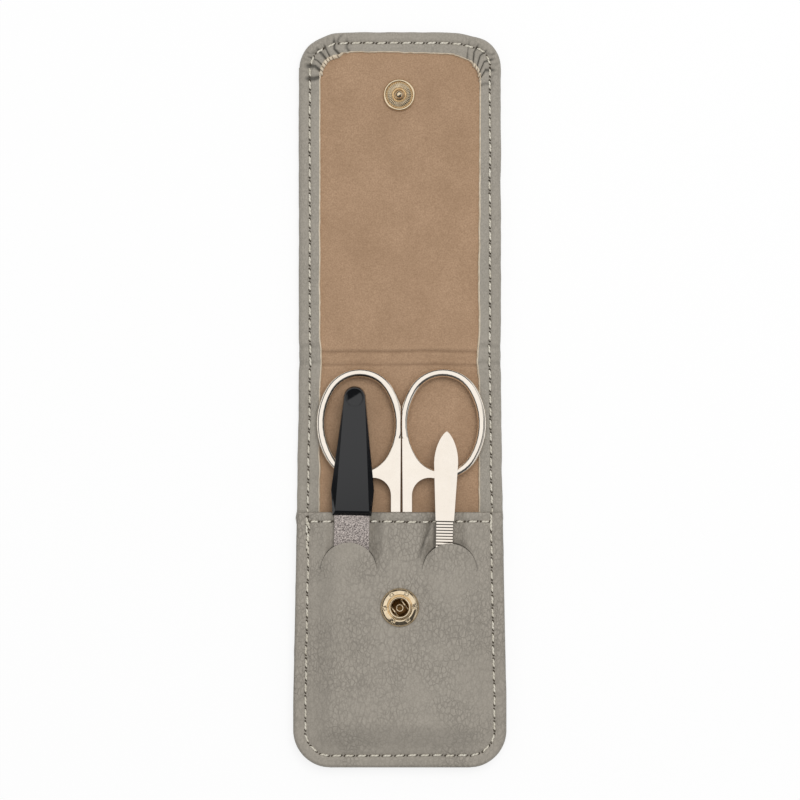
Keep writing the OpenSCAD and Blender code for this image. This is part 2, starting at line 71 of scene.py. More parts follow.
def box_mm(node):
    """Lowest and highest corner of a CAD node, in millimetres."""
    low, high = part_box(node)
    return [c / MM for c in low], [c / MM for c in high]


back_low, back_high = box_mm("leather_pocket_back")
flap_low, flap_high = box_mm("leather_flap")
front_high = box_mm("pocket_front")[1]

FOOT_Y, CREASE_Y = back_low[1], back_high[1]
FLAP_Y, TOP_Y = flap_low[1], flap_high[1]
MOUTH_Y = front_high[1]
FOOT_W, FLAP_W = back_high[0] - back_low[0], flap_high[0] - flap_low[0]
HEM_TOP = back_high[2]
LINING_TOP = box_mm("flap_lining")[1][2]
SWELL_TOP = front_high[2]
FRONT_TOP = box_mm("snap_socket")[0][2]
FLAP_R = 9.75
FOOT_R = 10.2
SPLIT_Y = FLAP_Y - 1.9  # where the two pieces of leather meet, on the spine
FLAP_MIDDLE, POCKET_MIDDLE = 55, -45  # places inside each part, to tell outward from inward
print(f"case {TOP_Y - FOOT_Y:.1f} mm long, {FLAP_W:.1f} mm to {FOOT_W:.1f} mm wide, mouth at {MOUTH_Y:.1f}")

# %% [markdown]
# ## Small helpers
#
# Colours are easier to judge as screen values, so a helper turns them into the linear values that the
# shaders expect. The others make a smooth step, a soft hump and a smooth random height. They shape every
# crease, groove and bulge below.

# %% Colour and shape helpers
def screen(r, g, b):
    """A screen colour, 0 to 255 each, as linear RGBA."""
    def linear(c):
        c = c / 255
        return c / 12.92 if c <= 0.04045 else ((c + 0.055) / 1.055) ** 2.4
    return (linear(r), linear(g), linear(b), 1.0)


def smooth(a, b, x):
    """0 before a, 1 after b, and a smooth step between."""
    t = min(1.0, max(0.0, (x - a) / (b - a)))
    return t * t * (3 - 2 * t)


def bump(x, centre, width):
    """A soft hump of height 1."""
    return math.exp(-(((x - centre) / width) ** 2))


def rough(x, y, size, seed=0.0):
    """Smooth random height between -1 and 1, with features of about that size in millimetres."""
    return noise.noise(Vector((x / size, y / size, seed)))


print("a mid grey of 128 is", round(screen(128, 128, 128)[0], 3), "in linear light")

# %% [markdown]
# ## Shader groups
#
# Pebbled leather shows on the pocket and on the hem, each time as small pebbles with larger wrinkles
# over them, so its grain is one node group. Cells come from a Voronoi texture whose coordinates are
# disturbed by noise, which turns honeycomb cells into the uneven pebbles of drummed calf leather.

# %% Build the pebble grain group
def new_group(name, inputs, outputs):
    """An empty shader group with named float or vector sockets."""
    group = bpy.data.node_groups.new(name, "ShaderNodeTree")
    for label, kind, value in inputs:
        socket = group.interface.new_socket(label, in_out="INPUT", socket_type=kind)
        if value is not None:
            socket.default_value = value
    for label, kind in outputs:
        group.interface.new_socket(label, in_out="OUTPUT", socket_type=kind)
    return group, group.nodes.new("NodeGroupInput"), group.nodes.new("NodeGroupOutput")


def node(tree, kind, values=None, **settings):
    """A node with its settings and socket values."""
    made = tree.nodes.new(kind)
    for key, value in settings.items():
        setattr(made, key, value)
    for key, value in (values or {}).items():
        made.inputs[key].default_value = value
    return made


def math_node(tree, operation, a, b=None, c=None):
    """A math node whose inputs are sockets or numbers; returns its output."""
    made = tree.nodes.new("ShaderNodeMath")
    made.operation = operation
    for slot, value in enumerate((a, b, c)):
        if value is None:
            continue
        if isinstance(value, (int, float)):
            made.inputs[slot].default_value = value
        else:
            tree.links.new(value, made.inputs[slot])
    return made.outputs[0]


def pebble_group():
    """Height of the pebbles and a mask of the creases between them."""
    group, into, out = new_group(
        "pebble grain",
        [("Vector", "NodeSocketVector", None), ("Cell Size", "NodeSocketFloat", 0.0014)],
        [("Height", "NodeSocketFloat"), ("Creases", "NodeSocketFloat")])
    link = group.links.new
    scale = math_node(group, "DIVIDE", 1.0, into.outputs["Cell Size"])
    wander = node(group, "ShaderNodeTexNoise", {"Detail": 2.0})
    link(into.outputs["Vector"], wander.inputs["Vector"])
    link(math_node(group, "MULTIPLY", scale, 0.7), wander.inputs["Scale"])
    drawn = node(group, "ShaderNodeVectorMath", {1: (1.25, 0.8, 1.0)}, operation="MULTIPLY")
    link(into.outputs["Vector"], drawn.inputs[0])
    shift = node(group, "ShaderNodeVectorMath", operation="MULTIPLY_ADD")
    link(wander.outputs["Color"], shift.inputs[0])
    reach = node(group, "ShaderNodeCombineXYZ")
    for axis in "XYZ":
        link(math_node(group, "MULTIPLY", into.outputs["Cell Size"], 1.1), reach.inputs[axis])
    link(reach.outputs[0], shift.inputs[1])
    link(drawn.outputs[0], shift.inputs[2])
    cells = node(group, "ShaderNodeTexVoronoi", feature="DISTANCE_TO_EDGE")
    link(shift.outputs[0], cells.inputs["Vector"])
    link(scale, cells.inputs["Scale"])
    dome = node(group, "ShaderNodeMapRange", {"From Min": 0.0, "From Max": 0.16},
                interpolation_type="SMOOTHSTEP")
    link(cells.outputs["Distance"], dome.inputs["Value"])
    pores = node(group, "ShaderNodeTexNoise", {"Detail": 3.0})
    link(into.outputs["Vector"], pores.inputs["Vector"])
    link(math_node(group, "MULTIPLY", scale, 3.5), pores.inputs["Scale"])
    patches = node(group, "ShaderNodeTexNoise", {"Detail": 1.0})
    link(into.outputs["Vector"], patches.inputs["Vector"])
    link(math_node(group, "MULTIPLY", scale, 0.12), patches.inputs["Scale"])
    strength = node(group, "ShaderNodeMapRange",
                    {"From Min": 0.38, "From Max": 0.62, "To Min": 0.25, "To Max": 1.0})
    link(patches.outputs["Fac"], strength.inputs["Value"])
    body = math_node(group, "MULTIPLY", dome.outputs[0], strength.outputs[0])
    link(math_node(group, "MULTIPLY_ADD", pores.outputs["Fac"], 0.22, body), out.inputs["Height"])
    hollow = math_node(group, "SUBTRACT", 1.0, dome.outputs[0])
    link(math_node(group, "MULTIPLY", hollow, strength.outputs[0]), out.inputs["Creases"])
    return group


PEBBLE = pebble_group()
print("pebble grain group has", len(PEBBLE.nodes), "nodes")

# %% [markdown]
# A second group gives the slow mottling that dyed leather, brushed suede and worn metal all have: two
# sizes of noise that mix two colours.

# %% Build the mottle group
def mottle_group():
    """Two colours mixed by slow patches, with the mask that mixes them."""
    group, into, out = new_group(
        "mottle",
        [("Vector", "NodeSocketVector", None), ("Patch Size", "NodeSocketFloat", 0.012),
         ("Contrast", "NodeSocketFloat", 0.5), ("Dark", "NodeSocketColor", None),
         ("Light", "NodeSocketColor", None)],
        [("Color", "NodeSocketColor"), ("Mask", "NodeSocketFloat")])
    link = group.links.new
    scale = math_node(group, "DIVIDE", 1.0, into.outputs["Patch Size"])
    broad = node(group, "ShaderNodeTexNoise", {"Detail": 3.0, "Roughness": 0.6})
    fine = node(group, "ShaderNodeTexNoise", {"Detail": 4.0, "Roughness": 0.7})
    for texture, factor in ((broad, 1.0), (fine, 7.0)):
        link(into.outputs["Vector"], texture.inputs["Vector"])
        link(math_node(group, "MULTIPLY", scale, factor), texture.inputs["Scale"])
    both = math_node(group, "MULTIPLY_ADD", fine.outputs["Fac"], 0.35,
                     math_node(group, "MULTIPLY", broad.outputs["Fac"], 0.65))
    spread = math_node(group, "MULTIPLY_ADD", math_node(group, "SUBTRACT", both, 0.5),
                       math_node(group, "MULTIPLY", into.outputs["Contrast"], 5.0), 0.5)
    mask = node(group, "ShaderNodeClamp")
    link(spread, mask.inputs["Value"])
    mix = node(group, "ShaderNodeMix", data_type="RGBA")
    link(mask.outputs[0], mix.inputs["Factor"])
    link(into.outputs["Dark"], mix.inputs[6])
    link(into.outputs["Light"], mix.inputs[7])
    link(mix.outputs[2], out.inputs["Color"])
    link(mask.outputs[0], out.inputs["Mask"])
    return group


MOTTLE = mottle_group()
print("mottle group has", len(MOTTLE.nodes), "nodes")

# %% [markdown]
# ## Leather
#
# The case is dyed calf leather in a warm grey. Its colour barely changes, but it is a little darker in
# the creases between pebbles and paler where it is stretched. Each mesh stores a painted shade for the
# points in its folds, its gaps and the pleats of the gathered corners, and the material darkens there.

# %% Make the leather materials
def new_material(name):
    """A material with its tree, Principled shader and Object coordinates."""
    material = bpy.data.materials.new(name)
    material.use_nodes = True
    tree = material.node_tree
    shader = tree.nodes["Principled BSDF"]
    where = tree.nodes.new("ShaderNodeTexCoord").outputs["Object"]
    return material, tree, shader, where


def place_group(tree, group, where, **values):
    """A group node fed with coordinates and its own values."""
    made = tree.nodes.new("ShaderNodeGroup")
    made.node_tree = group
    tree.links.new(where, made.inputs["Vector"])
    for key, value in values.items():
        made.inputs[key.replace("_", " ")].default_value = value
    return made


def mix_color(tree, mask, first, second):
    """Mixes two colours, given as sockets or values, by a mask socket; returns the colour."""
    mix = node(tree, "ShaderNodeMix", data_type="RGBA")
    tree.links.new(mask, mix.inputs["Factor"])
    for slot, value in ((6, first), (7, second)):
        if isinstance(value, tuple):
            mix.inputs[slot].default_value = value
        else:
            tree.links.new(value, mix.inputs[slot])
    return mix.outputs[2]


def shade_folds(tree, color, shadow):
    """Paints shade: darkens a colour towards the shadow colour by the shade that the mesh stores per point.
    """
    fold_shade = node(tree, "ShaderNodeAttribute", attribute_name="fold_shade")
    return mix_color(tree, fold_shade.outputs["Fac"], color, shadow)


def add_relief(tree, shader, height, distance, strength=1.0):
    """Lets a height socket bump the surface by up to a distance in metres."""
    relief = node(tree, "ShaderNodeBump", {"Strength": strength, "Distance": distance})
    tree.links.new(height, relief.inputs["Height"])
    tree.links.new(relief.outputs[0], shader.inputs["Normal"])


def vary_roughness(tree, shader, mask, low, high):
    """Roughness between two values by a mask socket."""
    span = node(tree, "ShaderNodeMapRange", {"To Min": low, "To Max": high})
    tree.links.new(mask, span.inputs["Value"])
    tree.links.new(span.outputs[0], shader.inputs["Roughness"])


def darker(color, share):
    """A colour at that share of its light."""
    return tuple(c * share for c in color[:3]) + (1.0,)


def leather(name, dark, light, cell, depth, crease_tone, wrinkle_tone):
    """Grained leather; the tones are how strongly lines between pebbles and long wrinkles darken."""
    material, tree, shader, where = new_material(name)
    link = tree.links.new
    grain = place_group(tree, PEBBLE, where, Cell_Size=cell)
    tone = place_group(tree, MOTTLE, where, Patch_Size=0.02, Contrast=0.5, Dark=dark, Light=light)
    deep = darker(dark, 0.62)
    lines = math_node(tree, "MULTIPLY", grain.outputs["Creases"], crease_tone)
    color = mix_color(tree, lines, tone.outputs["Color"], deep)
    along = node(tree, "ShaderNodeMapping", {"Rotation": (0, 0, 0.35), "Scale": (1.2, 0.8, 1.0)})
    link(where, along.inputs["Vector"])
    wrinkles = place_group(tree, PEBBLE, along.outputs[0], Cell_Size=cell * 1.6)
    long_lines = math_node(tree, "MULTIPLY", wrinkles.outputs["Creases"], wrinkle_tone)
    color = mix_color(tree, long_lines, color, deep)
    pores = node(tree, "ShaderNodeTexNoise", {"Scale": 1900.0, "Detail": 3.0, "Roughness": 0.75})
    link(where, pores.inputs["Vector"])
    dots = node(tree, "ShaderNodeMapRange", {"From Min": 0.42, "From Max": 0.66, "To Max": 0.4})
    link(pores.outputs["Fac"], dots.inputs["Value"])
    color = mix_color(tree, dots.outputs[0], color, deep)
    # painted shade: the fold_shade attribute darkens the leather towards a dark copy of its colour
    link(shade_folds(tree, color, darker(dark, 0.3)), shader.inputs["Base Color"])
    vary_roughness(tree, shader, grain.outputs["Creases"], 0.46, 0.64)
    shader.inputs["Specular IOR Level"].default_value = 0.35
    height = math_node(tree, "MULTIPLY_ADD", wrinkles.outputs["Height"], 0.5, grain.outputs["Height"])
    add_relief(tree, shader, height, depth)
    return material


POCKET_LEATHER = leather("pebbled leather", screen(156, 149, 138), screen(163, 156, 145),
                         cell=0.0013, depth=0.00007, crease_tone=0.55, wrinkle_tone=0.4)
HEM_LEATHER = leather("hem leather", screen(153, 147, 136), screen(163, 156, 145),
                      cell=0.0010, depth=0.00005, crease_tone=0.2, wrinkle_tone=0.15)
print("leathers:", POCKET_LEATHER.name, "and", HEM_LEATHER.name)

# %% [markdown]
# The cut edge of the hem shows the pale, undyed middle of the hide. It is matt and a little furry, so
# it gets a coarse noise for both colour and relief.

# %% Make the cut edge material
FIBRE = 0.00025


def fibrous(name, dark, light, patch, depth):
    """Matt, fibrous material for cut leather, card and the dark discs of painted shade at the stitch ends.
    """
    material, tree, shader, where = new_material(name)
    tone = place_group(tree, MOTTLE, where, Patch_Size=patch, Contrast=0.8, Dark=dark, Light=light)
    # painted shade: the fold_shade attribute darkens the cut edge towards dark brown
    color = shade_folds(tree, tone.outputs["Color"], screen(70, 54, 38))
    tree.links.new(color, shader.inputs["Base Color"])
    shader.inputs["Roughness"].default_value = 0.9
    shader.inputs["Specular IOR Level"].default_value = 0.2
    hairs = node(tree, "ShaderNodeTexNoise", {"Scale": 1.0 / FIBRE, "Detail": 3.0})
    tree.links.new(where, hairs.inputs["Vector"])
    add_relief(tree, shader, hairs.outputs["Fac"], depth)
    return material


CUT_EDGE = fibrous("cut leather edge", screen(196, 181, 158), screen(226, 213, 192), 0.0016, 0.00006)
CARD = fibrous("grey card", screen(150, 143, 130), screen(176, 168, 154), 0.004, 0.00003)
print("cut edge and card made")

# %% [markdown]
# ## Suede
#
# The lining is thin suede. What makes suede look like suede is its nap: short fibres that brush light
# or dark in patches, and a soft bright rim at grazing angles. The first comes from the mottle group with
# fine specks over it, the second from the shader's sheen.

# %% Make the suede material
def suede():
    """Brushed suede: patches, fine dark specks of the nap, and a little sheen."""
    material, tree, shader, where = new_material("tan suede")
    link = tree.links.new
    tone = place_group(tree, MOTTLE, where, Patch_Size=0.009, Contrast=0.42,
                       Dark=screen(160, 131, 104), Light=screen(184, 153, 125))
    nap = node(tree, "ShaderNodeTexNoise", {"Scale": 2600.0, "Detail": 3.0, "Roughness": 0.7})
    link(where, nap.inputs["Vector"])
    speck = node(tree, "ShaderNodeMapRange", {"From Min": 0.36, "From Max": 0.68, "To Max": 0.62})
    link(nap.outputs["Fac"], speck.inputs["Value"])
    color = mix_color(tree, speck.outputs[0], tone.outputs["Color"], screen(133, 106, 81))
    # painted shade: the fold_shade attribute darkens the suede along its crease lines
    link(shade_folds(tree, color, screen(96, 74, 54)), shader.inputs["Base Color"])
    shader.inputs["Roughness"].default_value = 0.95
    shader.inputs["Specular IOR Level"].default_value = 0.15
    shader.inputs["Sheen Weight"].default_value = 0.12
    shader.inputs["Sheen Roughness"].default_value = 0.6
    add_relief(tree, shader, nap.outputs["Fac"], 0.00006, 0.8)
    return material


SUEDE = suede()
print("suede made")

# %% [markdown]
# ## The outline of the case
#
# Leather is cut to a pattern, so the model starts with one too: a list of stations round the edge. Each
# station knows its place on the outside, the way out, and the matching place on the inner edge of the
# hem. The inner edge isn't a plain offset. Round each flap corner it takes a curve of its own, and the
# leather in between is gathered into pleats that run out from one middle. The stations lie closer
# there, so that a pleat gets several of them.

# %% Lay out the stations
SIDE_STEP, FINE_STEP = 0.9, 0.22
HEM_EDGE = {-1: 22.0, 1: 21.8}  # inner edge of the hem on the left and on the right
WINDOW_CORNER = {
    -1: [(-21.9, 87.8), (-21.6, 90.4), (-20.2, 92.6), (-18.0, 93.7), (-14.0, 94.7)],
    1: [(22.1, 86.9), (21.9, 89.0), (20.7, 91.2), (18.6, 92.6), (14.8, 94.1)]}
WINDOW_X, WINDOW_Y = FLAP_W / 2 - 12.9, TOP_Y - 12.7  # middle of a window corner and of its pleats
FOOT_STATIONS, FLAP_STATIONS = 24, 72


def half_width(y):
    """Half the width of the case at height y."""
    t = min(1.0, max(0.0, (CREASE_Y - y) / (CREASE_Y - FOOT_Y - 18)))
    side = (FLAP_W + (FOOT_W - FLAP_W) * t ** 1.3) / 2
    low = FOOT_Y + FOOT_R - y
    if low > 0:
        side = FOOT_W / 2 - FOOT_R + math.sqrt(max(0.0, FOOT_R ** 2 - low ** 2))
    return side


def spread(a, b, step):
    """Places from a towards b at about that step, without b."""
    n = max(1, round(abs(b - a) / step))
    return [a + (b - a) * i / n for i in range(n)]


def half_path_pocket():
    """Left half of the pocket's outline: down the side, round the corner, along the foot."""
    centre_x, centre_y = -FOOT_W / 2 + FOOT_R, FOOT_Y + FOOT_R
    path = [(-half_width(y), y) for y in spread(SPLIT_Y, centre_y, SIDE_STEP)]
    for i in range(FOOT_STATIONS):
        turn = math.radians(180 + 90 * i / FOOT_STATIONS)
        path.append((centre_x + FOOT_R * math.cos(turn), centre_y + FOOT_R * math.sin(turn)))
    return path + [(x, FOOT_Y) for x in spread(centre_x, 0, SIDE_STEP)]


def half_path_flap():
    """Left half of the flap's outline: up the side, round the corner, along the top."""
    centre_x, centre_y = -FLAP_W / 2 + FLAP_R, TOP_Y - FLAP_R
    path = [(-FLAP_W / 2, y) for y in spread(SPLIT_Y, WINDOW_Y - 2, SIDE_STEP)]
    path += [(-FLAP_W / 2, y) for y in spread(WINDOW_Y - 2, centre_y, FINE_STEP)]
    for i in range(FLAP_STATIONS):
        turn = math.radians(180 - 90 * i / FLAP_STATIONS)
        path.append((centre_x + FLAP_R * math.cos(turn), centre_y + FLAP_R * math.sin(turn)))
    path += [(x, TOP_Y) for x in spread(centre_x, 2 - WINDOW_X, FINE_STEP)]
    return path + [(x, TOP_Y) for x in spread(2 - WINDOW_X, 0, SIDE_STEP)]


def mirrored(half):
    """The whole path from its left half; the middle falls between two stations."""
    return half + [(-x, y) for x, y in reversed(half)]


def outward(path, middle_y):
    """The way out of the case at each place of a path."""
    ways = []
    for i, (x, y) in enumerate(path):
        ax, ay = path[max(0, i - 1)]
        bx, by = path[min(len(path) - 1, i + 1)]
        way = Vector((by - ay, ax - bx)).normalized()
        if way.x * x + way.y * (y - middle_y) < 0:
            way = -way
        ways.append(way)
    return ways


pocket_path = mirrored(half_path_pocket())
flap_path = mirrored(half_path_flap())
print(len(pocket_path), "stations round the pocket part,", len(flap_path), "round the flap")

# %% [markdown]
# No hand-made case is quite straight. The edge wanders by a tenth or two of a millimetre, pulls in at
# the creases and stands out where the pocket front is sewn on. The same small shifts are used for the
# outside of the leather and for the pocket front, so that their edges agree.

# %% Let the edge wander
def edge_shift(x, y):
    """How far the real edge stands outside its pattern."""
    side = 1 if x > 0 else -1
    shift = 0.16 * rough(side * 7, y, 9) + 0.1 * rough(x, y, 3.5, 2.0)
    shift -= 0.22 * bump(y, CREASE_Y + 0.6, 1.6) + 0.16 * bump(y, CREASE_Y + 5.2, 1.4)
    if abs(x) > 20:
        shift += (0.4 if side < 0 else 0.2) * bump(y, MOUTH_Y - 1.6, 1.3)
    if y > TOP_Y - FLAP_R and side < 0:
        shift -= 0.75 * bump(x, -22.0, 4.5)
    elif y > TOP_Y - FLAP_R:
        shift -= 0.85 * bump(x, 20.0, 4.0)
    return shift


def curve_through(places, t):
    """Place at share t of a smooth curve through a few places."""
    at = min(len(places) - 1.001, max(0.0, t * (len(places) - 1)))
    k, u = int(at), at - int(at)
    a, b, c, d = (Vector(places[min(len(places) - 1, max(0, k + j))]) for j in (-1, 0, 1, 2))
    return 0.5 * (2 * b + (c - a) * u + (2 * a - 5 * b + 4 * c - d) * u * u
                  + (3 * b - a - 3 * c + d) * u ** 3)


def inner_edge(x, y):
    """Place on the raw inner edge of the hem that belongs to an outer place."""
    side = -1 if x < 0 else 1
    edge = HEM_EDGE[side]
    wave = 0.2 * rough(side * 3, y, 5, 4.0) + 0.1 * rough(side * 3, y, 1.6, 5.0)
    if y < FOOT_Y + 16:
        return (x * 0.78, max(y, FOOT_Y + 5.9) if abs(x) < 20 else max(y + 2, FOOT_Y + 5.9))
    if y <= CREASE_Y + 20:
        return (side * (edge - 0.45 * bump(y, CREASE_Y + 2, 5) + wave), y)
    corner = WINDOW_CORNER[side]
    if y <= WINDOW_Y:
        share = (y - CREASE_Y - 20) / (WINDOW_Y - CREASE_Y - 20)
        return (side * (edge + wave * (1 - share)) + (corner[0][0] - side * edge) * share,
                CREASE_Y + 20 + (corner[0][1] - CREASE_Y - 20) * share)
    if abs(x) > WINDOW_X:
        turn = math.atan2(y - WINDOW_Y, abs(x) - WINDOW_X) / (math.pi / 2)
        place = curve_through(corner, turn)
        frill = 0.22 * rough(side * 9 + turn * 13, 0.0, 1.0, 6.0)
        return (place.x + side * frill, place.y + frill)
    share = (x + WINDOW_X) / (2 * WINDOW_X)
    left, right = WINDOW_CORNER[-1][-1], WINDOW_CORNER[1][-1]
    inside = min(1.0, 8 * share * (1 - share))
    top_wave = inside * (0.3 * rough(x, 0.0, 6, 8.0) + 0.12 * rough(x, 0.0, 1.7, 9.0) + 0.25)
    return (left[0] + (right[0] - left[0]) * share,
            left[1] + (right[1] - left[1]) * share + top_wave)


sample = inner_edge(*flap_path[10])
print("hem is", round(sample[0] - flap_path[10][0], 2), "mm wide on the flap")

# %% [markdown]
# ## Turned leather
#
# The edge of the case is the leather itself, turned round the card and glued down as a hem. In section
# it is a half round, then a flat hem with the seam's groove in it, then the cut edge. One grid is bent
# into that shape: its columns are the stations and its rows are the places of the section. The open
# middle of the back is then closed with one face, cut into strips so that it can bend.

# %% Describe the section
ROUND = 1.4  # how far in the rounded edge reaches
SEAM_IN = 3.0  # the seam's distance from the edge
PLAIN_IN = 4.3  # inside this, the hem is stretched to reach its inner edge
STITCH_PITCH = 3.4


def section_rows():
    """Rows of the section, each a kind, a distance and a height.

    "in" counts from the outer edge, "share" from there to the raw edge, "cut" across the raw edge.
    """
    rows = [("in", d, 0.0) for d in (6.5, 4.2, 2.4, 1.8)]
    for i in range(11):
        a = math.radians(-90 + 18 * i)
        rows.append(("in", ROUND * (1 - math.cos(a)), HEM_TOP / 2 * (1 + math.sin(a))))
    rows += [("in", d, HEM_TOP) for d in (1.8, 2.2, 2.5, 2.75, 3.0, 3.25, 3.5, 3.9, PLAIN_IN)]
    rows += [("share", s, HEM_TOP) for s in (0.16, 0.32, 0.48, 0.64, 0.8, 0.92)]
    rows += [("share", 1.0, HEM_TOP - 0.06), ("cut", 0.25, HEM_TOP - 0.05), ("cut", 0.6, HEM_TOP - 0.2)]
    rows += [("cut", 0.9, HEM_TOP - 0.42), ("cut", 1.0, LINING_TOP + 0.1), ("cut", 1.0, LINING_TOP - 0.4)]
    return rows


def seam_groove(d, seam=SEAM_IN):
    """How the thread pulls the leather down beside the seam."""
    return -0.3 * bump(d, seam, 0.5) + 0.1 * bump(d, seam - 1.2, 0.7) + 0.08 * bump(d, seam + 1.3, 0.8)


ROWS = section_rows()
print(len(ROWS), "rows in the section")

# %% [markdown]
# Round a flap corner the hem has more leather than room, so it is gathered. The pleats fan out from one
# middle, so they can be written as waves over the angle round it. Each pleat is a pillow with a line of
# painted shade on both sides. Some lines reach past the seam, and short wrinkles, dipped and darkened
# with painted shade, lie between them near the edge. The raw edge is pushed into little loops of its
# own, with painted shade between them.

# %% Gather the corners
PLEAT_TURN = 15.0  # degrees from pleat to pleat
LOOP_TURN = 9.0  # degrees from loop to loop of the raw edge


def corner_turn(x, y):
    """How far round a flap corner a place lies, in degrees, or None outside the corners."""
    turn = math.degrees(math.atan2(y - WINDOW_Y, abs(x) - WINDOW_X))
    return turn if -14 < turn < 104 and y > 60 else None


def loop_wave(turn):
    """Goes to 0 between two loops of the raw edge and to 1 on each."""
    return abs(math.sin(math.radians(turn * 180 / LOOP_TURN)))


def gather(x, y, share):
    """Height and shade of the pleats; share is below 0 outside the seam and 1 at the cut edge."""
    turn = corner_turn(x, y)
    if turn is None:
        return 0.0, 0.0
    side = 1 if x > 0 else -1
    fade = smooth(-14, 2, turn) * (smooth(100, 84, turn) if side < 0 else smooth(78, 62, turn))
    phase = turn / PLEAT_TURN + 0.3 * rough(turn, 0, 14, side) + (0.35 if side > 0 else 0.0)
    near = abs(phase - round(phase))
    pillow = math.sqrt(math.sin(math.pi * min(0.5, near)))
    full = 0.75 + 0.5 * rough(math.floor(phase) * 5.3, 0, 1.0, 12.0)
    grow = fade * (smooth(-0.45, 0.0, share) * 0.35 + 0.65 * smooth(-0.1, 0.9, share))
    reach = 0.5 + 0.5 * rough(round(phase) * 3.7, 0, 1.0, 14.0)
    drawn = fade * smooth(-0.8 + 0.6 * reach, -0.3 + 0.6 * reach, share)
    # line and short are painted shade in the pleats' creases and in the wrinkles between them
    line = bump(near, 0.0, 0.14) * min(1.0, drawn + 0.2 * grow)
    between = phase + 0.5 + 0.25 * rough(share * 3, phase, 1.0, 31.0)
    short = bump(abs(between - round(between)), 0.0, 0.1)
    short *= smooth(-0.72, -0.5, share) * smooth(0.1, -0.2, share)
    short *= fade * smooth(-0.3, 0.3, rough(round(between) * 5.1, 0, 1.0, 33.0))
    return grow * (0.85 * full * pillow - 0.6) - 0.2 * short, min(1.0, 1.15 * line + 0.8 * short)


def cut_width(x, y):
    """How wide the raw edge shows: thin on the straight, bunched up in a corner."""
    turn = corner_turn(x, y)
    plain = 0.36 if x < 0 or y > 94 else 0.46
    if turn is None:
        return plain + 0.08 * rough(x, y, 2.0, 15.0)
    side = 1 if x > 0 else -1
    bunched = smooth(-4, 10, turn) * (smooth(84, 70, turn) if side < 0 else smooth(66, 54, turn))
    return plain + bunched * (0.75 + 0.25 * rough(turn, 0, 6, 16.0))


def cut_bead(x, y):
    """Height of the little loops that the raw edge makes in a corner."""
    turn = corner_turn(x, y)
    if turn is None:
        return 0.03 * rough(x, y, 0.7, 17.0)
    wide = (cut_width(x, y) - 0.4) / 0.75
    return 0.6 * max(0.0, wide) * math.sqrt(loop_wave(turn)) - 0.1 * wide


def cut_gap(x, y):
    """Shade between two loops of the raw edge."""
    turn = corner_turn(x, y)
    if turn is None or cut_width(x, y) < 0.6:
        return 0.0
    return 0.9 * bump(loop_wave(turn), 0.0, 0.3)


print("a pleat every", PLEAT_TURN, "degrees, and a loop every", LOOP_TURN)

# %% Bend a grid into turned leather
CUT_ROWS = 6  # how many rows at the end of the section show the raw edge
RINGS_Y = 14.0  # the finger rings swing over the hem below this


def hem_height(x, y, d, share):
    """Height and fold shade on top of the hem."""
    z = HEM_TOP + seam_groove(d) + 0.06 * rough(x, y, 4, 11.0)
    wrinkle = bump(y, CREASE_Y + 0.9, 0.35) + 0.8 * bump(y, CREASE_Y + 5.4, 0.3)
    wrinkle += 0.4 * bump(y, CREASE_Y + 3.2, 0.25)
    z -= 0.3 * wrinkle * (1 if abs(x) > 15 else 0)
    lift, shade = gather(x, y, share)
    if y < RINGS_Y:
        z = min(z, HEM_TOP + 0.02)
    return z + lift, min(1.0, shade + 0.25 * wrinkle * (1 if y < SPLIT_Y + 3 else 0))


def turned_leather(name, path, middle_y):
    """Leather of one part of the case, with its back, rounded edge, hem and cut edge."""
    ways = outward(path, middle_y)
    nx, ny = len(path), len(ROWS)
    bm = bmesh.new()
    bmesh.ops.create_grid(bm, x_segments=nx - 1, y_segments=ny - 1, size=1.0)
    bm.verts.ensure_lookup_table()
    fold_shade = bm.verts.layers.float.new("fold_shade")
    for i, ((px, py), way) in enumerate(zip(path, ways)):
        out = Vector((px, py)) + way * edge_shift(px, py)
        inner = Vector(inner_edge(px, py))
        start = out - way * PLAIN_IN
        for j, (kind, d, z) in enumerate(ROWS):
            vertex = bm.verts[j * nx + i]
            if kind == "in":
                place = out - way * d
                if z > HEM_TOP * 0.6:
                    high, vertex[fold_shade] = hem_height(px, py, d, (d - SEAM_IN) / 4.0)
                    z += (high - HEM_TOP) * smooth(ROUND * 0.3, 2.0, d)
            elif kind == "share":
                place = start.lerp(inner, d)
                high, vertex[fold_shade] = hem_height(px, py, PLAIN_IN + d, 0.35 + 0.65 * d)
                z = z - HEM_TOP + high
            else:
                place = inner + (inner - start).normalized() * d * cut_width(px, py)
                vertex[fold_shade] = cut_gap(px, py)
                if z > LINING_TOP + 0.2:
                    z += cut_bead(px, py) + max(0.0, gather(px, py, 1.0)[0]) * (1 - d)
            vertex.co = (place.x, place.y, z)
    cut = {bm.verts[j * nx + i] for j in range(ny - CUT_ROWS, ny) for i in range(nx)}
    first = [bm.verts[i] for i in range(nx)]
    bm.normal_update()
    close_back(bm, first)
    for face in bm.faces:
        face.smooth = True
        face.material_index = 1 if all(v in cut for v in face.verts) else 0
    if upwardness(bm) < 0:
        bmesh.ops.reverse_faces(bm, faces=bm.faces[:])
    return finish_mesh(bm, name, [HEM_LEATHER, CUT_EDGE])


def upwardness(bm):
    """Above 0 if the faces on top of the hem point up."""
    return sum(f.normal.z for f in bm.faces if f.calc_center_median().z > HEM_TOP - 0.5)


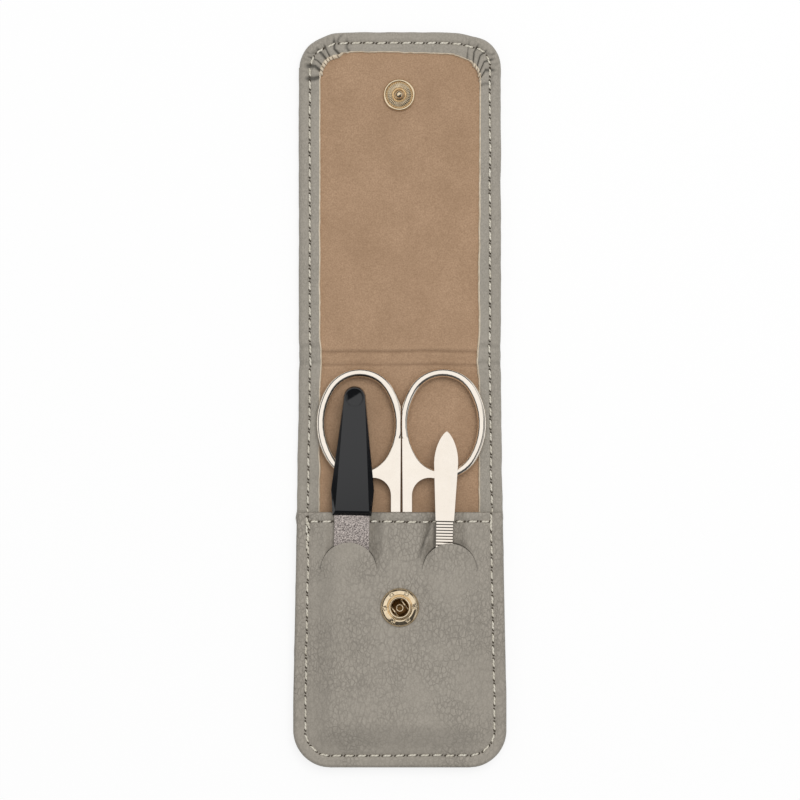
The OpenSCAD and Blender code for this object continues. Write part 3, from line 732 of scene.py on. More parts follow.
def close_back(bm, row):
    """Closes the flat back with one face inside the innermost row, cut into strips that can bend."""
    top = upwardness(bm)
    back = bm.faces.new(row)
    back.normal_update()
    if back.normal.z * top > 0:
        back.normal_flip()
    low, high = min(v.co.y for v in row), max(v.co.y for v in row)
    strips, y = [back], math.floor(low) + 1.05
    while y < high:
        parts = {v for f in strips for v in f.verts} | {e for f in strips for e in f.edges}
        cut = bmesh.ops.bisect_plane(bm, geom=strips + list(parts), dist=0.0001, plane_co=(0, y, 0),
                                     plane_no=(0, 1, 0))
        strips = [f for f in cut["geom"]
                  if isinstance(f, bmesh.types.BMFace) and f.calc_center_median().y > y - 0.01]
        y += 0.5 if CREASE_Y - 3 < y < FLAP_Y + 4 else 4.0


def finish_mesh(bm, name, materials):
    """Scales a finished bmesh to metres and makes its object."""
    bmesh.ops.scale(bm, vec=(MM, MM, MM), verts=bm.verts[:])
    mesh = bpy.data.meshes.new(name)
    bm.to_mesh(mesh)
    bm.free()
    for material in materials:
        mesh.materials.append(material)
    piece = bpy.data.objects.new(name, mesh)
    bpy.context.scene.collection.objects.link(piece)
    print(name, "has", len(mesh.polygons), "faces")
    return piece


pocket_leather = turned_leather("case_leather_pocket", pocket_path, POCKET_MIDDLE)
flap_leather = turned_leather("case_leather_flap", flap_path, FLAP_MIDDLE)

# %% [markdown]
# ## Two pieces at the creases
#
# The real leather runs unbroken over both creases. The frame has a hinge at each, and a mesh can bend
# across only one, so the leather is in two pieces that meet on the spine, where neither bends. Each piece
# is passed to the call for its part, and each call only bakes the piece in place; no bending is set up
# here. The same two calls serve the lining and the seams.

# %% Bake the pieces in place
def bend_low(piece):
    """Bakes a piece of the pocket part in place; nothing here makes it follow the pocket or the spine."""
    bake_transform(piece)


def bend_high(piece):
    """Bakes a piece of the flap part in place; nothing here makes it follow the spine or the flap."""
    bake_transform(piece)


bend_low(pocket_leather)
bend_high(flap_leather)
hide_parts("leather_pocket_back", "leather_spine")
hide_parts("leather_flap")

# %% [markdown]
# ## The lining
#
# The suede is glued to the card and runs under the hem all round. It is a grid again, dense enough to
# carry the wrinkles that a fold leaves: two sharp lines where the case creases, dipped and darkened with
# painted shade, and a crumpled strip between them with a little painted shade in it.

# %% Lay the suede
LINING_X = 24.4
LINING_COLUMNS = 90


def lining_height(x, y):
    """Height and fold shade of the suede."""
    wrinkled = smooth(CREASE_Y - 0.8, CREASE_Y + 0.4, y) * smooth(CREASE_Y + 5.4, CREASE_Y + 3.9, y)
    drift = 0.5 * rough(x, 0.0, 16, 3.0)
    line_low = bump(y, CREASE_Y + 0.2 + drift * 0.6, 0.32)
    line_high = bump(y, CREASE_Y + 3.8 + drift, 0.3)
    z = LINING_TOP + 0.08 * rough(x, y, 14, 1.0) + 0.03 * rough(x, y, 4, 2.0)
    z += wrinkled * (0.12 * rough(x / 5, y, 0.8, 7.0) + 0.08 * rough(x / 2.4, y, 0.5, 8.0))
    z -= 0.3 * line_low + 0.34 * line_high
    z += 0.16 * bump(y, CREASE_Y + 4.7 + drift, 0.6)
    return z, 0.35 * line_high + 0.28 * line_low + wrinkled * 0.12 * max(0.0, rough(x / 4, y, 0.7, 9.0))


def suede_sheet(name, y0, y1, step):
    """Flat suede from y0 to y1, as wide as reaches under the hem."""
    nx, ny = LINING_COLUMNS, max(2, round((y1 - y0) / step))
    bm = bmesh.new()
    bmesh.ops.create_grid(bm, x_segments=nx, y_segments=ny, size=1.0)
    fold_shade = bm.verts.layers.float.new("fold_shade")
    for vertex in bm.verts:
        y = y0 + (y1 - y0) * (vertex.co.y + 1) / 2
        x = vertex.co.x * min(LINING_X, half_width(max(y, FOOT_Y + 4)) - 2.8)
        z, vertex[fold_shade] = lining_height(x, y)
        vertex.co = (x, y, z)
    for face in bm.faces:
        face.smooth = True
    return finish_mesh(bm, name, [SUEDE])


pocket_suede = suede_sheet("suede_lining_pocket", FOOT_Y + 4, SPLIT_Y, 0.35)
flap_suede = suede_sheet("suede_lining_flap", SPLIT_Y, TOP_Y - 3.4, 0.7)
bend_low(pocket_suede)
bend_high(flap_suede)
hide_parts("pocket_lining", "spine_lining")
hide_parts("flap_lining")

# %% [markdown]
# ## The pocket front
#
# One piece of leather covers the tools. Two round tongues are cut free in it: the file and the tweezers
# run over the band above and under the tongue. The surface is a height map, but a cut can't be made in a
# plain grid, so four grids share their edges: the foot part, the two tongues and the band. Along a
# tongue's arc the band and the tongue keep their own vertices, and that gap is the cut.

# %% Shape the pocket's height
TONGUE_Y = MOUTH_Y - 15.8
FILE_TONGUE = (-13.9, 7.6)  # middle and radius of the arc
TWEEZER_TONGUE = (13.54, 7.35)
FLAT_Z = HEM_TOP + 1.0  # height of the sewn border, and how wide it is
BORDER = 3.4
SWELL_X = 12.2
FILE_X = -12.97
TWEEZER_X, TWEEZER_LEAN = 12.25, 0.0227
FILE_SILL = 5.19  # height of the band just under each tool
TWEEZER_SILL = 4.99
FRONT_SEAM = 3.3
HEM_SEAM_Y = MOUTH_Y - 2.6
FRONT_THICK = 0.9


def curve(stations, x):
    """Height at x on a curve that is level at each station."""
    if x <= stations[0][0]:
        return stations[0][1]
    for (x0, z0), (x1, z1) in zip(stations, stations[1:]):
        if x <= x1:
            return z0 + (z1 - z0) * smooth(x0, x1, x)
    return stations[-1][1]


def edge_distance(x, y):
    """Distance from the outline of the pocket part."""
    corner_x, corner_y = FOOT_W / 2 - FOOT_R, FOOT_Y + FOOT_R
    if abs(x) > corner_x and y < corner_y:
        return FOOT_R - math.hypot(abs(x) - corner_x, y - corner_y)
    return min(half_width(max(y, corner_y)) - abs(x), y - FOOT_Y)


def mound(x, y):
    """The front over the scissors, with the swell over the tweezers."""
    d = edge_distance(x, y)
    z = FLAT_Z + (FRONT_TOP - FLAT_Z) * smooth(BORDER - 0.5, BORDER + 9.0, d)
    along = smooth(MOUTH_Y - 36, MOUTH_Y - 20, y)
    swell = [(SWELL_X - 6.4, 0), (SWELL_X - 2.2, 1), (SWELL_X + 2.2, 1), (SWELL_X + 6.8, 0)]
    across = curve(swell, x)
    return z + (SWELL_TOP - FRONT_TOP) * across * along


print("the front is", round(mound(0, -60), 2), "mm high over the scissors")

# %% [markdown]
# The band above the tongues dips under the file and the tweezers, so its height is a curve across the
# pocket that the mound blends into. A tongue keeps the mound's height, and the step between the two is
# the cut. The band is also pressed down along a tongue's rim and beside the tweezers, and a crease runs
# slantwise from the tweezers to the mouth. Painted shade darkens the cut, both sides of the tweezers,
# that crease and the rounded rim of the front.

# %% Dip the band under the tools
BAND = [(-25.2, FLAT_Z), (-21.4, FILE_SILL + 1.0), (FILE_X - 5.6, FILE_SILL), (FILE_X + 4.7, FILE_SILL),
        (FILE_X + 9.2, FRONT_TOP - 0.1), (SWELL_X - 7.6, FRONT_TOP - 0.1), (SWELL_X - 3.0, TWEEZER_SILL),
        (SWELL_X + 3.2, TWEEZER_SILL), (SWELL_X + 6.4, FILE_SILL + 1.2), (21.2, FILE_SILL + 1.2),
        (25.2, FLAT_Z)]


def tuck(x, y):
    """How far the band is pressed under the rim of a tongue."""
    depth = 0.0
    for centre, r in (FILE_TONGUE, TWEEZER_TONGUE):
        out = math.hypot(x - centre, y - TONGUE_Y) - r
        if y > TONGUE_Y and out < 2:
            depth = max(depth, 0.17 * smooth(2.0, 0.0, out) * smooth(TONGUE_Y - 0.1, TONGUE_Y + 1.2, y))
    return depth


def cut_shade(x, y):
    """Shade in the cut round a tongue."""
    outs = [abs(math.hypot(x - centre, y - TONGUE_Y) - r) for centre, r in (FILE_TONGUE, TWEEZER_TONGUE)]
    return 0.75 * bump(min(outs), 0.0, 0.16) * smooth(TONGUE_Y - 0.5, TONGUE_Y + 0.2, y)


def press_shade(x, y):
    """Painted shade where the band is pressed down on both sides of the tweezers."""
    side = abs(x - TWEEZER_X - TWEEZER_LEAN * (y - MOUTH_Y))
    return 0.8 * bump(side, 2.6, 0.3) * smooth(TONGUE_Y + 5, TONGUE_Y + 8, y)


def pocket_height(x, y, tongue=False):
    """Height and fold shade of the pocket front."""
    d = edge_distance(x, y)
    z = mound(x, y)
    dip = 0.0 if tongue else smooth(TONGUE_Y, TONGUE_Y + 6.0, y)
    z += (min(z, curve(BAND, x)) - z) * dip
    if not tongue:
        z -= tuck(x, y)
    middle = smooth(2.5, 6, d)
    z += middle * (0.14 * rough(x, y, 9, 21.0) + 0.06 * rough(x, y, 3.2, 22.0))
    z += seam_groove(d, FRONT_SEAM) * smooth(0.6, 1.4, d)
    hem_groove = 0.22 * bump(y, HEM_SEAM_Y, 0.5) - 0.12 * bump(y, HEM_SEAM_Y + 1.4, 0.8)
    z -= hem_groove * smooth(3.0, 4.5, d)
    run = SWELL_X - 3.5 - 0.33 * (MOUTH_Y - 2 - y) + 0.3 * rough(0, y, 2.5, 23.0)
    crease = dip * bump(x, run, 0.5) * smooth(MOUTH_Y - 0.5, MOUTH_Y - 3, y)
    z -= 0.5 * crease
    rim = max(0.0, 1 - d / 0.95)
    z -= 1.0 * (1 - math.sqrt(max(0.0, 1 - rim * rim)))
    lip = max(0.0, 1 - (MOUTH_Y - y) / 0.55)
    z -= 0.6 * (1 - math.sqrt(max(0.0, 1 - lip * lip)))
    shade = 0.55 * crease + 0.25 * rim
    if not tongue:
        shade += cut_shade(x, y) + press_shade(x, y)
    return z, min(1.0, shade)


print("pocket is", round(pocket_height(0, -60)[0], 2), "mm high in its middle")

# %% [markdown]
# The columns of the grids are spaced so that a tongue gets many of them where its arc turns steeply.
# The band starts on the arc and the tongue ends on it, at the same columns.

# %% Lay the grids of the pocket front
ARC_COLUMNS, PLAIN_COLUMN = 26, 0.55
FOOT_ROWS, BAND_ROWS, TONGUE_ROWS = 110, 34, 16


def columns():
    """Places across the pocket at the level of the tongues, from edge to edge."""
    wide = half_width(TONGUE_Y)
    (left_x, left_r), (right_x, right_r) = FILE_TONGUE, TWEEZER_TONGUE
    rim = [0.0, 0.12, 0.3, 0.55, 0.95, 1.4]

    def arc(x, r):
        return [x - r * math.cos(math.pi * i / ARC_COLUMNS) for i in range(ARC_COLUMNS)]

    places = [-wide + r for r in rim] + spread(-wide + 1.8, left_x - left_r, PLAIN_COLUMN)
    places += arc(left_x, left_r) + spread(left_x + left_r, right_x - right_r, PLAIN_COLUMN)
    places += arc(right_x, right_r) + spread(right_x + right_r, wide - 1.8, PLAIN_COLUMN)
    return places + [wide - 1.8] + [wide - r for r in reversed(rim)]


def arc_rise(x):
    """How far the arc of the tongue that x lies in stands above the tongue line there."""
    for centre, r in (FILE_TONGUE, TWEEZER_TONGUE):
        if abs(x - centre) < r:
            return math.sqrt(r * r - (x - centre) ** 2)
    return 0.0


def add_patch(bm, fold_shade, xs, rows, place, tongue=False):
    """A grid whose vertex (column, row) is put where place says, at the pocket's height."""
    made = bmesh.ops.create_grid(bm, x_segments=len(xs) - 1, y_segments=rows, size=1.0)["verts"]
    for vertex in made:
        i = round((vertex.co.x + 1) / 2 * (len(xs) - 1))
        x, y = place(xs[i], (vertex.co.y + 1) / 2)
        z, vertex[fold_shade] = pocket_height(x, y, tongue)
        vertex.co = (x, y, z)


def pocket_front():
    """The leather over the tools: foot part, band and two tongues, with a wall on their inside."""
    xs = columns()
    wide = half_width(TONGUE_Y)
    bm = bmesh.new()
    fold_shade = bm.verts.layers.float.new("fold_shade")

    def foot_place(x, t):
        y = FOOT_Y + (TONGUE_Y - FOOT_Y) * (t * 0.35 + 0.65 * t * t) if t < 1 else TONGUE_Y
        width = half_width(y)
        near = min(1.0, (wide - abs(x)) / 3.0)
        inner = x * width / wide
        outer = math.copysign(max(0.0, width - (wide - abs(x))), x)
        return outer + (inner - outer) * near, y

    def band_place(x, t):
        low = TONGUE_Y + arc_rise(x)
        y = low + (MOUTH_Y - low) * (1 - (1 - t) ** 1.25)
        width = half_width(y)
        near = min(1.0, (wide - abs(x)) / 3.0)
        outer = math.copysign(width - (wide - abs(x)), x)
        return outer + (x - outer) * near, y

    def tongue_place(x, t):
        return x, TONGUE_Y + arc_rise(x) * t

    add_patch(bm, fold_shade, xs, FOOT_ROWS, foot_place)
    add_patch(bm, fold_shade, xs, BAND_ROWS, band_place)
    for centre, r in (FILE_TONGUE, TWEEZER_TONGUE):
        inside = [x for x in xs if abs(x - centre) < r + 1e-6]
        add_patch(bm, fold_shade, inside, TONGUE_ROWS, tongue_place, tongue=True)
    bmesh.ops.remove_doubles(bm, verts=bm.verts[:], dist=0.012)
    bmesh.ops.dissolve_degenerate(bm, edges=bm.edges[:], dist=0.002)
    for face in bm.faces:
        face.smooth = True
    if sum(f.normal.z for f in bm.faces) < 0:
        bmesh.ops.reverse_faces(bm, faces=bm.faces[:])
    piece = finish_mesh(bm, "pocket_front_leather", [POCKET_LEATHER])
    wall = piece.modifiers.new("leather thickness", "SOLIDIFY")
    wall.thickness = FRONT_THICK * MM
    wall.offset = -1
    return piece


front = pocket_front()
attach(front, "pocket_body")
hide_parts("pocket_front")

# %% [markdown]
# ## Stitches
#
# The seam is a lockstitch in waxed off-white thread. Each stitch lies slightly askew, because the needle
# holes are slits cut at an angle, and it dives into a hole at both ends, drawn as a dark disc of painted
# shade. A stitch has two strands, each a small sphere stretched along the seam, with slanted bands of
# painted shade on its UV map for the twist of the yarn.

# %% Make the thread materials
def thread():
    """Off-white yarn with painted shade in the bands of its twist."""
    material, tree, shader, where = new_material("waxed thread")
    link = tree.links.new
    tone = place_group(tree, MOTTLE, where, Patch_Size=0.004, Contrast=0.7,
                       Dark=screen(214, 207, 190), Light=screen(244, 239, 226))
    uv = tree.nodes.new("ShaderNodeUVMap")
    uv.uv_map = "UVMap"
    twist = node(tree, "ShaderNodeTexWave", {"Scale": 2.2, "Distortion": 0.4}, wave_type="BANDS",
                 bands_direction="DIAGONAL")
    link(uv.outputs["UV"], twist.inputs["Vector"])
    # painted shade: darker bands in the grooves between the twisted strands
    bands = math_node(tree, "MULTIPLY", twist.outputs["Fac"], 0.35)
    color = mix_color(tree, bands, tone.outputs["Color"], screen(150, 140, 120))
    link(color, shader.inputs["Base Color"])
    shader.inputs["Roughness"].default_value = 0.7
    add_relief(tree, shader, twist.outputs["Fac"], 0.0001, 0.8)
    return material


THREAD = thread()
# painted shade: the dark discs at the stitch ends stand for the shade inside the holes
HOLE_SHADE = fibrous("needle hole shade", screen(58, 52, 44), screen(84, 76, 66), 0.001, 0.00002)
print("thread and needle holes made")

# %% Walk along a seam
def walk(points, pitch):
    """Middles of the stitches along a line of (x, y) places, with the direction of each."""
    lengths = [0.0]
    for (ax, ay), (bx, by) in zip(points, points[1:]):
        lengths.append(lengths[-1] + math.hypot(bx - ax, by - ay))
    count = int(lengths[-1] / pitch)
    found, k = [], 0
    for n in range(count):
        want = (n + 0.5) * lengths[-1] / count
        while lengths[k + 1] < want:
            k += 1
        t = (want - lengths[k]) / (lengths[k + 1] - lengths[k])
        (ax, ay), (bx, by) = points[k], points[k + 1]
        found.append((ax + (bx - ax) * t, ay + (by - ay) * t, math.atan2(by - ay, bx - ax)))
    return found


def add_stitch(bm, x, y, z, angle, length):
    """One stitch: two strands laid side by side askew, so that the second starts beside the first."""
    for side in (-1, 1):
        slant = angle + math.radians(13)
        sx = x + math.cos(angle) * side * length * 0.23
        sy = y + math.sin(angle) * side * length * 0.23
        size = Matrix.Diagonal((length * 0.34, 0.25, 0.2, 1))
        place = Matrix.Translation((sx, sy, z)) @ Matrix.Rotation(slant, 4, "Z") @ size
        bmesh.ops.create_uvsphere(bm, u_segments=8, v_segments=6, radius=1.0, calc_uvs=True,
                                  matrix=place @ Matrix.Rotation(math.pi / 2, 4, "Y"))


def add_hole(bm, x, y, z, angle, size):
    """A dark disc of painted shade for the slit that the needle left at the end of a stitch."""
    shape = Matrix.Diagonal((0.42 * size, 0.27 * size, 1, 1))
    place = Matrix.Translation((x, y, z)) @ Matrix.Rotation(angle + math.radians(30), 4, "Z") @ shape
    bmesh.ops.create_circle(bm, cap_ends=True, segments=10, radius=1.0, matrix=place)


def seam(name, stitches, height):
    """Thread and dark discs of painted shade at the stitch ends along a list of stitches; height gives the
    leather under each.
    """
    yarn, holes = bmesh.new(), bmesh.new()
    yarn.loops.layers.uv.new("UVMap")
    for n, (x, y, angle) in enumerate(stitches):
        wobble = 0.06 * rough(n * 3.1, 0, 1.0, 31.0)
        sx, sy = x - math.sin(angle) * wobble, y + math.cos(angle) * wobble
        length = 2.1 + 0.25 * rough(n * 1.7, 0, 1.0, 33.0)
        add_stitch(yarn, sx, sy, height(x, y) + 0.16, angle, length)
        for end in (-1, 1):
            reach = end * (length / 2 + 0.16)
            hx, hy = x + math.cos(angle) * reach, y + math.sin(angle) * reach
            size = 1 + 0.3 * rough(n * 2.3, end, 1.0, 35.0)
            add_hole(holes, hx, hy, height(hx, hy) + 0.13, angle, size)
    for bm in (yarn, holes):
        for face in bm.faces:
            face.smooth = True
    return [finish_mesh(yarn, name + "_thread", [THREAD]),
            finish_mesh(holes, name + "_needle_hole_shades", [HOLE_SHADE])]


print("a test seam of 100 mm takes", len(walk([(0, 0), (0, 100)], STITCH_PITCH)), "stitches")

# %% Sew the flap and the pocket
def inset_line(path, middle_y, depth):
    """The path drawn in by a depth, which may depend on the place."""
    ways = outward(path, middle_y)
    line = []
    for (x, y), way in zip(path, ways):
        d = depth(y) if callable(depth) else depth
        place = Vector((x, y)) + way * (edge_shift(x, y) - d)
        line.append((place.x, place.y))
    return line


def hem_seam_height(x, y):
    """Height of the leather under the flap's seam."""
    return HEM_TOP - 0.3 + gather(x, y, 0.12)[0]


def case_seam_height(x, y):
    """Height under the pocket's seam, which climbs from the hem onto the front."""
    on_front = y < MOUTH_Y - 0.3
    return pocket_height(x, y)[0] if on_front else HEM_TOP - 0.3


flap_stitches = walk(inset_line(flap_path, FLAP_MIDDLE, SEAM_IN), STITCH_PITCH)
pocket_line = inset_line(pocket_path, POCKET_MIDDLE, lambda y: SEAM_IN if y > MOUTH_Y else FRONT_SEAM)
pocket_stitches = walk(pocket_line, STITCH_PITCH)
flap_seam = seam("flap_seam", flap_stitches, hem_seam_height)
pocket_seam = seam("pocket_seam", pocket_stitches, case_seam_height)
for piece in flap_seam:
    bend_high(piece)
for piece in pocket_seam:
    bend_low(piece)
print(len(flap_stitches) + len(pocket_stitches), "stitches round the case")

# %% [markdown]
# The mouth of the pocket is hemmed with a shorter seam, and the machine went back and forth at both of
# its ends. These back tacks are what keeps the pocket from tearing, so they show as a small thick knot.

# %% Sew the mouth and its back tacks
MOUTH_PITCH = 3.2
tack_x = half_width(HEM_SEAM_Y) - FRONT_SEAM


def mouth_line():
    """The line of the mouth's seam, from one side seam to the other."""
    places = spread(-tack_x, tack_x, 1.0) + [tack_x]
    return [(x, HEM_SEAM_Y + 0.25 * rough(x, 0, 12, 41.0)) for x in places]


def back_tack(x, y0, y1, count):
    """A second run of stitches over the first."""
    return [(x + 0.5 * rough(k * 2.3, 0, 1, 43.0), y0 + (y1 - y0) * k / (count - 1),
             math.pi / 2 + 0.35 * rough(k * 1.9, 0, 1, 44.0)) for k in range(count)]


mouth_stitches = walk(mouth_line(), MOUTH_PITCH)
mouth_stitches += back_tack(-tack_x - 0.5, MOUTH_Y - 2.6, MOUTH_Y - 9, 4)
mouth_stitches += back_tack(tack_x + 0.1, MOUTH_Y - 1.8, MOUTH_Y - 4, 2)
for piece in seam("mouth_seam", mouth_stitches, case_seam_height):
    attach(piece, "pocket_body")
print(len(mouth_stitches), "stitches at the mouth")

# %% [markdown]
# ## Metals
#
# The snap is pale gold, the tools are nickel. Polished metal has no colour of its own beyond its tint:
# it shows what it reflects, so the roughness decides most. Fine noise in the roughness keeps it from
# looking like a mirror.

# %% Make the metals
def metal(name, dark, light, shine, dull, patch):
    """Plated metal whose roughness varies between shine and dull."""
    material, tree, shader, where = new_material(name)
    tone = place_group(tree, MOTTLE, where, Patch_Size=patch, Contrast=0.6, Dark=dark, Light=light)
    tree.links.new(tone.outputs["Color"], shader.inputs["Base Color"])
    shader.inputs["Metallic"].default_value = 1.0
    vary_roughness(tree, shader, tone.outputs["Mask"], shine, dull)
    return material


NICKEL = metal("satin nickel", screen(244, 234, 221), screen(251, 242, 230), 0.09, 0.14, 0.006)
GOLD = metal("pale gold plating", screen(224, 200, 164), screen(243, 226, 196), 0.1, 0.18, 0.0009)
# painted shade: dark brass for the socket's well, which no light reaches
WELL_SHADE_BRASS = metal("shaded brass", screen(84, 60, 32), screen(120, 90, 54), 0.3, 0.4, 0.0009)
print("nickel, gold and brass made")

# %% Make the plastic and the grit
def black_plastic():
    """Glossy moulded plastic, nearly black."""
    material, tree, shader, where = new_material("black plastic")
    tone = place_group(tree, MOTTLE, where, Patch_Size=0.006, Contrast=0.4,
                       Dark=screen(10, 11, 13), Light=screen(18, 19, 22))
    tree.links.new(tone.outputs["Color"], shader.inputs["Base Color"])
    vary_roughness(tree, shader, tone.outputs["Mask"], 0.1, 0.17)
    shader.inputs["Specular IOR Level"].default_value = 0.62
    return material


def grit():
    """Grains of crushed sapphire, light and dark, bonded to the blade."""
    material, tree, shader, where = new_material("sapphire grit")
    link = tree.links.new
    grains = node(tree, "ShaderNodeTexVoronoi", {"Scale": 5200.0})
    link(where, grains.inputs["Vector"])
    ramp = node(tree, "ShaderNodeMapRange", {"From Min": 0.15, "From Max": 0.85})
    link(grains.outputs["Color"], ramp.inputs["Value"])
    color = mix_color(tree, ramp.outputs[0], screen(77, 70, 69), screen(204, 193, 186))
    link(color, shader.inputs["Base Color"])
    shader.inputs["Roughness"].default_value = 0.55
    add_relief(tree, shader, grains.outputs["Distance"], 0.00008)
    return material


PLASTIC = black_plastic()
GRIT = grit()
print("plastic and grit made")

# %% [markdown]
# ## Tools with rounded edges
#
# A ground and polished tool has no sharp edge: every rim is rounded a little, and that thin round catches
# a dark or bright line that tells the eye it is metal. The CAD solids have the right shape with sharp
# rims, so a copy of each is merged, its flat triangles are joined, and its rims are bevelled. The ribs
# of the tweezers are cut sharp on the real ones too, so their edges stay as they are.

# %% Round the rims of the tools
RIM_SEGMENTS = 3
PLAIN_LEAST = 32.0
GRIP_LEAST, GRIP_CROWN, CROWN_CUTS = 12.0, 1.1, 14


def is_rib(edge):
    """Whether an edge runs across the tweezers in their ribbed stretch."""
    a, b = (v.co for v in edge.verts)
    return abs(a.x - b.x) > 3 and abs(a.y - b.y) < 0.3 and MOUTH_Y - 15 < a.y < MOUTH_Y


def round_rims(piece_name, node_name, body, material, width, least=PLAIN_LEAST, crown=0.0):
    """A copy of a CAD node whose rims sharper than the least angle are rounded to that width."""
    bm = bmesh.new()
    bm.from_mesh(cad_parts[node_name].data)
    bmesh.ops.scale(bm, vec=(1 / MM, 1 / MM, 1 / MM), verts=bm.verts[:])
    bmesh.ops.remove_doubles(bm, verts=bm.verts[:], dist=0.002)
    bmesh.ops.dissolve_limit(bm, angle_limit=math.radians(1.2), verts=bm.verts[:], edges=bm.edges[:])
    if crown:
        crown_along(bm, crown)
    rims = []
    for edge in bm.edges:
        if len(edge.link_faces) == 2 and edge.calc_face_angle(0.0) > math.radians(least):
            if is_rib(edge):
                edge.smooth = False
            else:
                rims.append(edge)
    bmesh.ops.bevel(bm, geom=rims, offset=width, offset_type="OFFSET", affect="EDGES",
                    segments=RIM_SEGMENTS, profile=0.5, material=-1, clamp_overlap=True)
    for face in bm.faces:
        face.smooth = True
        face.material_index = 0
    piece = finish_mesh(bm, piece_name, [material])
    flats = piece.modifiers.new("flat faces stay flat", "WEIGHTED_NORMAL")
    flats.keep_sharp = True
    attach(piece, body)
    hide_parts(node_name)


def crown_along(bm, drop):
    """Lets the top of a handle curve down by the drop from its far end to its near end."""
    far = max(v.co.y for v in bm.verts)
    near, low = min(v.co.y for v in bm.verts), min(v.co.z for v in bm.verts)
    for n in range(1, CROWN_CUTS):
        y = far + (near - far) * n / CROWN_CUTS
        bmesh.ops.bisect_plane(bm, geom=bm.verts[:] + bm.edges[:] + bm.faces[:], dist=0.0001,
                               plane_co=(0, y, 0), plane_no=(0, 1, 0))
    for vert in bm.verts:
        share = (far - vert.co.y) / (far - near)
        vert.co.z -= drop * share ** 2 * smooth(low + 1.2, low + 2.6, vert.co.z)


round_rims("scissors_left", "scissors_left_half", "scissors_left", NICKEL, 0.3)
round_rims("scissors_right", "scissors_right_half", "scissors_right", NICKEL, 0.3)
round_rims("pivot_screw", "scissors_screw", "scissors_pivot", NICKEL, 0.12)
round_rims("file_grip", "file_handle", "file", PLASTIC, 0.45, GRIP_LEAST, GRIP_CROWN)
round_rims("tweezers_top_arm", "tweezers_upper_arm", "tweezers_top", NICKEL, 0.16)
round_rims("tweezers_under_arm", "tweezers_lower_arm", "tweezers", NICKEL, 0.16)

# %% [markdown]
# ## The snap fastener
#
# Stud and socket are pressed from thin sheet, so both are bodies of revolution with small marks struck
# into them: flutes in the stud, six stars in the socket. A short profile is spun round the axis, and the
# points under each mark are pushed down. No light reaches the socket's bore, so its well is brass
# painted dark, as painted shade. Two gold wires cross it, and the rolled rim of the eyelet shows at its
# bottom.

# %% Round and spin a profile
def cut_corners(profile):
    """A profile with its corners cut: each side keeps its middle half."""
    inner = []
    for (r0, z0), (r1, z1) in zip(profile, profile[1:]):
        inner += [(r0 * 0.75 + r1 * 0.25, z0 * 0.75 + z1 * 0.25),
                  (r0 * 0.25 + r1 * 0.75, z0 * 0.25 + z1 * 0.75)]
    return [profile[0]] + inner + [profile[-1]]


def lathe(name, profile, steps, x, y, z, material, press=None):
    """A closed profile of (radius, height) spun upright; press gives how far its marks go down."""
    bm = bmesh.new()
    line = [bm.verts.new((r, 0, h)) for r, h in profile]
    sides = [bm.edges.new(pair) for pair in zip(line, line[1:])]
    bmesh.ops.spin(bm, geom=line + sides, cent=(0, 0, 0), axis=(0, 0, 1), angle=2 * math.pi, steps=steps,
                   use_merge=True)
    bmesh.ops.remove_doubles(bm, verts=bm.verts[:], dist=0.0008)
    bmesh.ops.recalc_face_normals(bm, faces=bm.faces[:])
    for vert in bm.verts:
        if press:
            vert.co.z -= press(vert.co.x, vert.co.y, vert.co.z)
    for face in bm.faces:
        face.smooth = True
    bmesh.ops.translate(bm, vec=(x, y, z), verts=bm.verts[:])
    return finish_mesh(bm, name, [material])


print("a profile of 4 points gets", len(cut_corners([(0, 0), (1, 0), (1, 1), (0, 1)])), "points")

# %% Strike the marks
FLUTES, STARS, STAR_R = 38, 6, 4.05


def flute(x, y, z):
    """Flutes between hub and rim of the stud, with a deeper nick at their outer ends."""
    r, wave = math.hypot(x, y), 0.5 + 0.5 * math.cos(FLUTES * math.atan2(y, x))
    if z < 0.3 or not 1.95 < r < 3.62:
        return 0.0
    return wave * (0.14 * smooth(1.95, 2.2, r) * smooth(3.62, 3.5, r) + 0.2 * bump(r, 3.42, 0.12))


def star(x, y, z):
    """Six struck stars round the dome of the socket."""
    depth = 0.0
    for n in range(STARS):
        turn = math.radians(3 + 60 * n)
        u, v = x - STAR_R * math.cos(turn), y - STAR_R * math.sin(turn)
        if z > 0.9 and math.hypot(u, v) < 0.8:
            for arm in range(3):
                way = turn + math.radians(60 * arm + 12)
                off = abs(u * math.sin(way) - v * math.cos(way))
                along = abs(u * math.cos(way) + v * math.sin(way))
                depth = max(depth, 0.2 * smooth(0.22, 0.05, off) * smooth(0.78, 0.5, along))
    return depth


print(FLUTES, "flutes in the stud,", STARS, "stars in the socket")

# %% Make the stud and the socket
STUD = (-0.15, 82.9)
SOCKET = (0.0, -56.3)
BALL_R, BALL_Z = 1.22, 2.45
STUD_STEPS, SOCKET_STEPS, PLAIN_STEPS = 304, 300, 48
turns = [math.radians(9 * n) for n in range(16)]
ball = [(BALL_R * math.sin(a), BALL_Z + BALL_R * math.cos(a)) for a in turns]
dish = cut_corners([(0.78, 1.5), (0.8, 1.05), (1.36, 0.98), (1.5, 0.7), (1.54, 0.08), (1.88, 0.08),
                    (1.96, 0.76), (2.15, 0.8), (2.6, 0.76), (3.0, 0.68), (3.25, 0.62), (3.5, 0.56),
                    (3.58, 0.62), (3.66, 0.88), (3.85, 0.95), (4.05, 0.96), (4.24, 0.88), (4.36, 0.5),
                    (4.36, 0.1), (4.2, 0.0)])
stud = lathe("stud", ball + dish + [(0.0, 0.0)], STUD_STEPS, *STUD, LINING_TOP, GOLD, flute)
